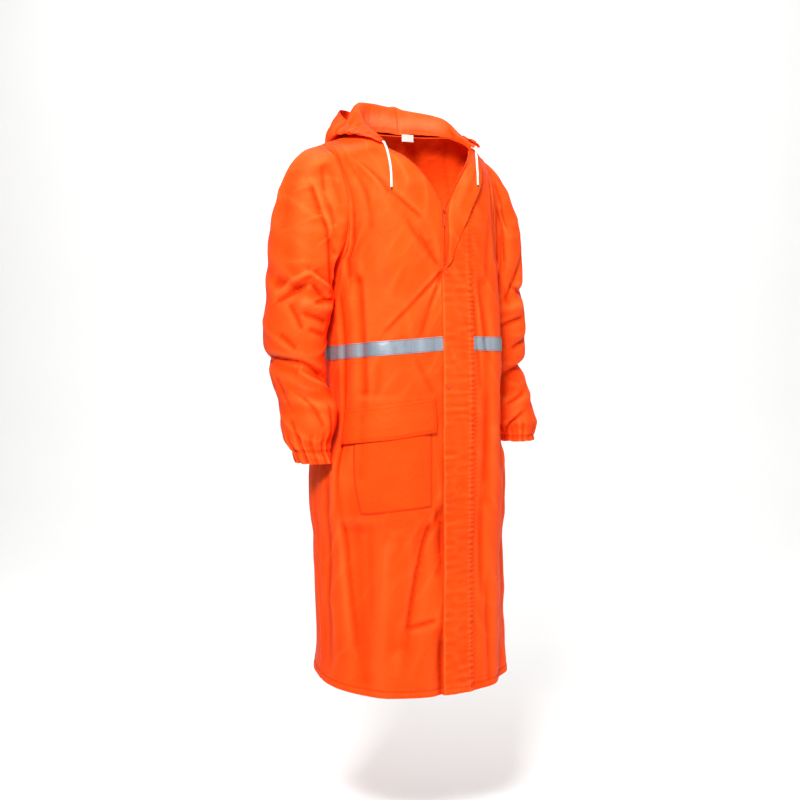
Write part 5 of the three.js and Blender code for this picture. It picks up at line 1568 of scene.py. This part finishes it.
class RAINCOAT_OT_cords(bpy.types.Operator):
    """Make the two free ends of the hood's drawcord."""

    bl_idname = "raincoat.cords"
    bl_label = "Drawcords"

    def execute(self, context):
        for name, route in CORD_ROUTE.items():
            line = spaced_curve(route, 150)
            lengths = arc_lengths(line)
            run = unit(np.gradient(line, axis=0))
            side = unit(np.cross(run, np.array([1.0, 0.2, 0.1])))
            other = np.cross(run, side)
            count = CORD_SIDES
            turn = (np.arange(count + 1) / count * 2 * math.pi)[None, :-1]
            end = lengths[-1] - lengths
            size = CORD_RADIUS * (1 - 0.35 * bell(end, 1.2))
            size = size * np.where(end < CORD_TIP, 0.86, 1)
            twist = lengths[:, None] * 1.5
            strand = np.sin(6 * turn + twist) * np.sin(6 * turn - twist)
            reach = size[:, None] - 0.16 * (strand + 1) / 2 * (end > CORD_TIP)[:, None]
            points = line[:, None] + reach[..., None] * (
                side[:, None] * np.cos(turn)[..., None] + other[:, None] * np.sin(turn)[..., None]
            )
            faces = tube_faces(len(line), count, flip=True)
            round_cord = np.tile(np.arange(count) / count, len(line)) * 1000
            uv = np.stack([round_cord, np.repeat(lengths, count)], axis=-1)
            piece = mesh_piece(name + "_braid", points.reshape(-1, 3), faces, uv=uv, sharp=SHARP_HARD)
            dress(piece, name, braid())
            piece.data.materials.append(moulded("cord_tip", "3A2A22", "5A4436", 0.5))
            tip = int(np.searchsorted(-end, -CORD_TIP))
            for polygon in piece.data.polygons:
                if min(polygon.vertices) >= tip * count:
                    polygon.material_index = 1
        return {"FINISHED"}


class RAINCOAT_OT_body(bpy.types.Operator):
    """Make the two fronts and the back."""

    bl_idname = "raincoat.body"
    bl_label = "Fronts and back"

    def execute(self, context):
        for name in ("front_right", "front_left", "back"):
            sewn = name == "front_left"
            cloth = coated_cloth("coated_cloth_seam", seam=True) if sewn else coated_cloth()
            wall_piece(name, needed(name), WALL, cloth)
        return {"FINISHED"}


class RAINCOAT_OT_sleeves(bpy.types.Operator):
    """Make the two sleeves with their gathered cuffs."""

    bl_idname = "raincoat.sleeves"
    bl_label = "Sleeves"

    def execute(self, context):
        for name in ("sleeve_right", "sleeve_left"):
            wall_piece(name, needed(name), WALL, coated_cloth())
        return {"FINISHED"}


class RAINCOAT_OT_hood(bpy.types.Operator):
    """Make the two halves of the hood, lying back off the head."""

    bl_idname = "raincoat.hood"
    bl_label = "Hood"

    def execute(self, context):
        for name in ("hood_right", "hood_left"):
            sheet = needed(name)
            piece = wall_piece(name, sheet, THIN_WALL, coated_cloth())
            # Light comes through the cloth along the crest
            glow = ease((sheet.station - 0.42) / 0.25) * bell(sheet.along - 22, 15) * 0.3
            mark(piece, "glow", [glow, glow * 0])
        return {"FINISHED"}


class RAINCOAT_OT_storm_flap(bpy.types.Operator):
    """Make the storm flap with its turned-out lapel."""

    bl_idname = "raincoat.storm_flap"
    bl_label = "Storm flap"

    def execute(self, context):
        outer, inner, across, heights = storm_flap()
        count = outer.shape[1]
        faces = wall_faces(len(outer), count, False)
        uv = np.stack([across.ravel(), np.repeat(heights, count)], axis=-1)
        points = np.concatenate([outer.reshape(-1, 3), inner.reshape(-1, 3)])
        both_uv = np.concatenate([uv, uv])
        piece = mesh_piece("storm_flap_cloth", points, faces, sharp=SHARP_CLOTH, uv=both_uv)
        # Painted shade in the flap's hollows and a painted highlight on its ridges
        hollow = hollows(Sheet(outer, across, -1), 0.9)
        mark(piece, "hollow", [hollow, -hollow])
        dress(piece, "storm_flap", coated_cloth())
        return {"FINISHED"}


@cache
def pocket_sheets():
    """The patch pocket and its flap as sheets on the right front."""
    front = needed("front_right")

    def on_front(table, at_z, bottom, top, size, lift, lean=0):
        start = front.column_at(at_z, table["inner"])
        end = front.column_at(at_z, table["outer"])
        return piece_on(front, start, end, level(*bottom), level(*top), size, lift, lean)

    bottom = (POCKET["bottom_inner"], POCKET["bottom_outer"])
    lean = POCKET["lean"] * COLUMN_FINE
    pocket = on_front(POCKET, -690, bottom, (POCKET["top"], POCKET["top"]), (64, 66), POCKET_LIFT, lean)
    z = pocket.points[..., 2]
    d = np.minimum(np.minimum(pocket.part, 1 - pocket.part) * 175, pocket.share * 180)
    rise = 1.6 * ease(d / 40) + 0.9 * soft_noise(pocket.across, z, 40, 131)
    rise += 2.4 * ease((pocket.share - 0.72) / 0.2) * np.sin(np.pi * np.clip(pocket.part, 0, 1))
    rise += 0.3 * np.sin(pocket.across * 0.9 + z * 0.9) * bell(d - 3, 4)
    rise -= 0.6 * bell(d - 3.4, 1.6) + 0.9 * bell(d, 1.5)
    drop = POCKET_FLAP["drop"]
    top = (POCKET_FLAP["top_inner"], POCKET_FLAP["top_outer"])
    flap = on_front(POCKET_FLAP, -580, (top[0] - drop, top[1] - drop), top, (72, 30), POCKET_FLAP_LIFT)
    d = np.minimum(np.minimum(flap.part, 1 - flap.part) * 220, flap.share * drop)
    below = (1 - flap.share) * drop
    slow = 1 + soft_noise(flap.across, flap.points[..., 2], 46, 141)
    flap_rise = 0.7 * ease((0.75 - flap.share) / 0.5) * slow
    flap_rise += 2.6 * ease((0.8 - flap.share) / 0.4)
    flap_rise -= 1.5 * ease((5 - below) / 5) + 0.5 * bell(below - 6, 1.5)
    flap_rise -= 0.5 * bell(d - 6, 1.5)
    flap_rise += 0.25 * np.sin(flap.across * 0.8) * bell(below - 5, 5)
    return pocket.raised(rise), flap.raised(flap_rise)


class RAINCOAT_OT_pocket(bpy.types.Operator):
    """Make the patch pocket and the flap over it."""

    bl_idname = "raincoat.pocket"
    bl_label = "Pocket"

    def execute(self, context):
        for name, sheet in zip(("pocket", "pocket_flap"), pocket_sheets()):
            # Painted shade in the hollows and along the edges of the pocket and its flap, and a painted
            # highlight on ridges
            hollow = np.maximum(hollows(sheet, 0.7), bell(border(sheet), 2.6))
            wall_piece(name, sheet, THIN_WALL, coated_cloth(), hollow=hollow)
        return {"FINISHED"}


@cache
def tape_sheets():
    """The reflective tape's three stretches round the body, by name."""
    half = TAPE_WIDTH / 2
    centre, right, left = TAPE_Z["centre"], TAPE_Z["right_side"], TAPE_Z["left_side"]
    last = needed("front_right").points.shape[1] - 1
    sheets = {}
    for base, start, end, a, b, count in (
        ("front_right", needed("front_right").column_at(centre, 5), last, centre, right, 84),
        ("front_left", needed("front_left").column_at(centre, 63), last, centre, left, 84),
        ("back", 0, 2 * last, right, left, 150),
    ):
        low = level(a - half, b - half)
        high = level(a + half, b + half)
        tape = piece_on(needed(base), start, end, low, high, (count, 10), TAPE_LIFT)
        edge = np.minimum(tape.share, 1 - tape.share) * TAPE_WIDTH
        rise = 0.35 * soft_noise(tape.across, tape.share * 8, 13, 151) - 0.4 * bell(edge - 2, 1.6)
        sheets["tape_" + base] = tape.raised(rise)
    return sheets


class RAINCOAT_OT_tape(bpy.types.Operator):
    """Make the reflective tape round the body."""

    bl_idname = "raincoat.tape"
    bl_label = "Reflective tape"

    def execute(self, context):
        for name, sheet in tape_sheets().items():
            below = [name.replace("tape_", "") + "_cloth"]
            wall_piece(name, sheet, TAPE_WALL, reflective_tape(), "_strip")
        return {"FINISHED"}


class RAINCOAT_OT_zip(bpy.types.Operator):
    """Make the zip's tapes and teeth, and finish its slider and pull tab."""

    bl_idname = "raincoat.zip"
    bl_label = "Zip"

    def execute(self, context):
        pitch = context.scene.raincoat_zip.pitch / MM
        teeth = []
        for side, end in ((-1, "right"), (1, "left")):
            tape = zip_tape(needed(f"front_{end}"))
            wall_piece(f"zip_tape_{end}", tape, TAPE_WALL, coated_cloth("zip_cloth"))
            edge = tape.points[:, 0]
            lengths = arc_lengths(edge)
            at = np.arange(6 + (pitch / 2 if side > 0 else 0), lengths[-1] - 3, pitch)
            for d in at:
                middle = point_along(edge, lengths, d)
                ahead = point_along(edge, lengths, min(d + 1, lengths[-1]))
                behind = point_along(edge, lengths, max(d - 1, 0))
                along = unit(ahead - behind)
                normal = unit(point_along(tape.normals[:, 0], lengths, d))
                out = unit(np.cross(along, normal)) * side
                out = out if out[0] * side < 0 else -out
                middle = middle + normal * 0.1 + out * 0.1
                teeth.append(tooth(middle, along, out, normal))
        verts, faces = joined(teeth)
        piece = mesh_piece("zip_teeth", verts, faces)
        piece.data.materials.append(moulded("zip_moulded", "C83A0C", "F0541C", 0.35))
        for name in ("zip_slider", "zip_pull"):
            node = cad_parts.get(name)
            if node is None:
                raise RuntimeError(f"the frame has no node named {name}")
            node.data.materials.clear()
            node.data.materials.append(moulded("zip_metal", "A42200", "D43C06", 0.3))
        return {"FINISHED"}


class RAINCOAT_OT_snaps(bpy.types.Operator):
    """Make the four snap caps down the storm flap."""

    bl_idname = "raincoat.snaps"
    bl_label = "Snaps"

    def execute(self, context):
        for name in SNAP_NODES:
            low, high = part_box(name)
            seat = np.array([(low[0] + high[0]) / 2, high[1], (low[2] + high[2]) / 2]) / MM
            verts, faces = lathe(SNAP_PROFILE, 40)
            verts = np.array(verts) * np.array([1, 1.15, 1]) + seat
            piece = mesh_piece(name + "_cap", verts, faces, sharp=SHARP_HARD)
            dress(piece, name, moulded("snap_moulded", "D23402", "E84208", 0.34))
        return {"FINISHED"}


class RAINCOAT_OT_label(bpy.types.Operator):
    """Make the blank label inside the back neck."""

    bl_idname = "raincoat.label"
    bl_label = "Neck label"

    def execute(self, context):
        low, high = (np.array(corner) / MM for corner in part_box("neck_label"))
        part = np.linspace(0, 1, 25)[None]
        share = np.linspace(0, 1, 14)[:, None]
        bow = 0.9 * np.sin(math.pi * part) * (1 - share) + 0.3 * np.sin(2 * math.pi * part) * (1 - share)
        x = mix(low[0] + 0.4, high[0] - 0.4, part)
        x, y, z = np.broadcast_arrays(x, low[1] + 0.2 - bow, mix(low[2], high[2], share))
        sheet = Sheet(np.stack([x, y, z], axis=-1), x.copy(), -1)
        wall_piece("neck_label", sheet, LABEL_WALL, label_weave())
        return {"FINISHED"}


class RAINCOAT_OT_stitches(bpy.types.Operator):
    """Sew the stitched lines of hem, pocket, storm flap, zip, tape, cuffs and hood."""

    bl_idname = "raincoat.stitches"
    bl_label = "Stitches"

    def execute(self, context):
        props = context.scene.raincoat_sewing
        size = (props.length / MM, props.gap / MM, props.thread / MM)
        lines = stitched_lines()
        if not lines:
            raise RuntimeError("there are no lines to sew")
        verts, faces = joined([part for line in lines for part in stitch_line(*line, *size)])
        piece = mesh_piece("stitches", verts, faces)
        piece.data.materials.append(thread())
        return {"FINISHED"}


def stitched_lines():
    """Each stitched line, as places and normals."""
    pocket, pocket_flap = pocket_sheets()
    lines = []
    for name in ("front_right", "front_left", "back"):
        sheet = needed(name)
        u = np.linspace(0.6, sheet.points.shape[1] - 1.6, 160)
        hem = np.interp(u, np.arange(sheet.points.shape[1]), sheet.points[0, :, 2]) + HEM_TURN
        lines.append(line_on(sheet, u, sheet.row_at(u, hem)))
    for name in ("front_right", "front_left"):
        lines.append(line_on(needed(name), 1.4, np.linspace(2, CORNER_ROW, 420)))
    for sheet, inset, top in ((pocket, 3.4, None), (pocket_flap, 6, 6)):
        last_row, last_column = (count - 1 for count in sheet.points.shape[:2])
        width = abs(sheet.across[0, -1] - sheet.across[0, 0])
        height = abs(sheet.points[-1, 0, 2] - sheet.points[0, 0, 2])
        cut = inset / width * last_column
        low = inset / height * last_row
        end = last_column - cut
        up = np.linspace(low, last_row - 0.2, 70)
        lines.append(line_on(sheet, cut, up))
        lines.append(line_on(sheet, np.linspace(cut, end, 80), low))
        lines.append(line_on(sheet, end, up))
        if top:
            high = (1 - top / height) * last_row
            lines.append(line_on(sheet, np.linspace(cut * 0.3, end + 0.7 * cut, 80), high))
    for tape in tape_sheets().values():
        for v in (0.62, 8.38):
            lines.append(line_on(tape, np.linspace(0.5, tape.points.shape[1] - 1.5, 120), v))
    for side, name in ((-1, "sleeve_right"), (1, "sleeve_left")):
        sheet = needed(name)
        around = np.arange(0, sheet.points.shape[1] - 1.01, 0.5)
        casing = CUFF_CASING_TOP + CUFF_RISE[side] * 0.5 - 12
        row = np.interp(-casing, -sheet.points[:, 0, 2], np.arange(len(sheet.points)))
        lines.append(line_on(sheet, around, row, 0.15))
        lines.append(line_on(sheet, around, row + 3, 0.15))
        lines.append(line_on(sheet, around, 2.2))
    for name in ("hood_right", "hood_left"):
        sheet = needed(name)
        u = np.linspace(0.5, sheet.points.shape[1] - 1.5, 140)
        last = len(sheet.points) - 1
        for row in (last - 6.5, last - 1.2, 1.6):
            points, normals = line_on(sheet, u, row)
            lines.append((points, normals))
            lines.append((points - normals * (THIN_WALL + 0.2), -normals))
        lines.append(line_on(sheet, sheet.points.shape[1] - 2, np.linspace(2, last - 1, 160)))
    outer = storm_flap()[0]
    normal = unit(np.cross(np.gradient(outer, axis=1), np.gradient(outer, axis=0)))
    normal *= np.sign(-normal[..., 1:2])
    for column in (2, sum(FLAP_SPANS) - 4):
        lines.append((outer[:, column], normal[:, column]))
    return lines


class RAINCOAT_OT_stage(bpy.types.Operator):
    """Set up the pale floor and the soft studio light."""

    bl_idname = "raincoat.stage"
    bl_label = "Stage"

    def execute(self, context):
        props = context.scene.raincoat_stage
        scene = context.scene
        scene.view_settings.view_transform = "Standard"
        shader = Shader("floor_paint", Specular_IOR_Level=0.1)
        spread = shader.noise(shader.place(), 1.5, detail=2)
        base = shader.mix_colour(spread, colour("F6F6F5"), colour("FAFAF9"))
        shader.set(Base_Color=base, Roughness=0.9 + spread * 0.05)
        mesh = bpy.data.meshes.new("floor")
        form_mesh = bmesh.new()
        reach, back, bend, steps = FLOOR["reach"], FLOOR["back"], FLOOR["bend"], FLOOR["steps"]
        places = [(-reach, FLOOR["z"])]
        for k in range(steps + 1):
            turn = math.radians(90 * (k / steps))
            places.append((back + bend * math.sin(turn), FLOOR["z"] + bend * (1 - math.cos(turn))))
        places.append((back + bend, reach))
        lines = [[form_mesh.verts.new((x, y, z)) for x in (-reach, reach)] for y, z in places]
        for a, b in zip(lines, lines[1:]):
            form_mesh.faces.new((a[0], a[1], b[1], b[0]))
        form_mesh.to_mesh(mesh)
        form_mesh.free()
        mesh.polygons.foreach_set("use_smooth", [True] * len(mesh.polygons))
        mesh.materials.append(shader.material)
        floor = bpy.data.objects.new("floor", mesh)
        floor.rotation_euler = (0, 0, math.radians(CAMERA["turn"]))
        scene.collection.objects.link(floor)
        world = bpy.data.worlds.new("studio")
        world.use_nodes = True
        sky = world.node_tree.nodes["Background"]
        sky.inputs["Color"].default_value = (1, 1, 1, 1)
        sky.inputs["Strength"].default_value = props.sky
        scene.world = world
        coat = (0, 0, -0.45)
        for name, place, size, power, target in (
            ("key", (-1.5, -1.95, 1.1), 0.7, props.key, (0, 0, 0.9)),
            ("fill", (2.4, -2.6, 0.1), 2.2, props.fill, coat),
            ("top", (0.2, 0.4, 2.4), 1.8, props.fill / 4, coat),
            ("backdrop", (0.9, 1.6, 3.0), 3.0, props.backdrop, (2.4, 4.5, -0.6)),
        ):
            data = bpy.data.lights.new(name, "AREA")
            data.size = size
            data.energy = power
            light = bpy.data.objects.new(name, data)
            light.location = place
            aim = Vector(target) - Vector(place)
            light.rotation_euler = aim.to_track_quat("-Z", "Y").to_euler()
            scene.collection.objects.link(light)
        return {"FINISHED"}


class RAINCOAT_PT_panel(bpy.types.Panel):
    """Lists the raincoat's pieces and their settings."""

    bl_idname = "RAINCOAT_PT_panel"
    bl_label = "Hooded Raincoat"
    bl_space_type = "VIEW_3D"
    bl_region_type = "UI"
    bl_category = "Raincoat"

    def draw(self, context):
        scene = context.scene
        for group in GROUPS:
            box = self.layout.box()
            values = getattr(scene, group)
            for name in values.__annotations__:
                box.prop(values, name)
        for operator in OPERATORS:
            self.layout.operator(operator.bl_idname)


GROUPS = {
    "raincoat_cloth": RaincoatCloth,
    "raincoat_sewing": RaincoatSewing,
    "raincoat_zip": RaincoatZip,
    "raincoat_stage": RaincoatStage,
}
OPERATORS = (
    RAINCOAT_OT_camera,
    RAINCOAT_OT_cords,
    RAINCOAT_OT_body,
    RAINCOAT_OT_sleeves,
    RAINCOAT_OT_hood,
    RAINCOAT_OT_storm_flap,
    RAINCOAT_OT_pocket,
    RAINCOAT_OT_tape,
    RAINCOAT_OT_zip,
    RAINCOAT_OT_snaps,
    RAINCOAT_OT_label,
    RAINCOAT_OT_stitches,
    RAINCOAT_OT_stage,
)


def register():
    for name, group in GROUPS.items():
        bpy.utils.register_class(group)
        setattr(bpy.types.Scene, name, bpy.props.PointerProperty(type=group))
    for operator in OPERATORS:
        bpy.utils.register_class(operator)
    bpy.utils.register_class(RAINCOAT_PT_panel)


def unregister():
    bpy.utils.unregister_class(RAINCOAT_PT_panel)
    for operator in reversed(OPERATORS):
        bpy.utils.unregister_class(operator)
    for name, group in reversed(GROUPS.items()):
        delattr(bpy.types.Scene, name)
        bpy.utils.unregister_class(group)


def main():
    register()
    bpy.ops.raincoat.camera()
    bpy.ops.raincoat.cords()
    bpy.ops.raincoat.body()
    bpy.ops.raincoat.sleeves()
    bpy.ops.raincoat.hood()
    bpy.ops.raincoat.storm_flap()
    bpy.ops.raincoat.pocket()
    bpy.ops.raincoat.tape()
    bpy.ops.raincoat.zip()
    bpy.ops.raincoat.snaps()
    bpy.ops.raincoat.label()
    bpy.ops.raincoat.stitches()
    bpy.ops.raincoat.stage()


if __name__ == "__main__":
    main()
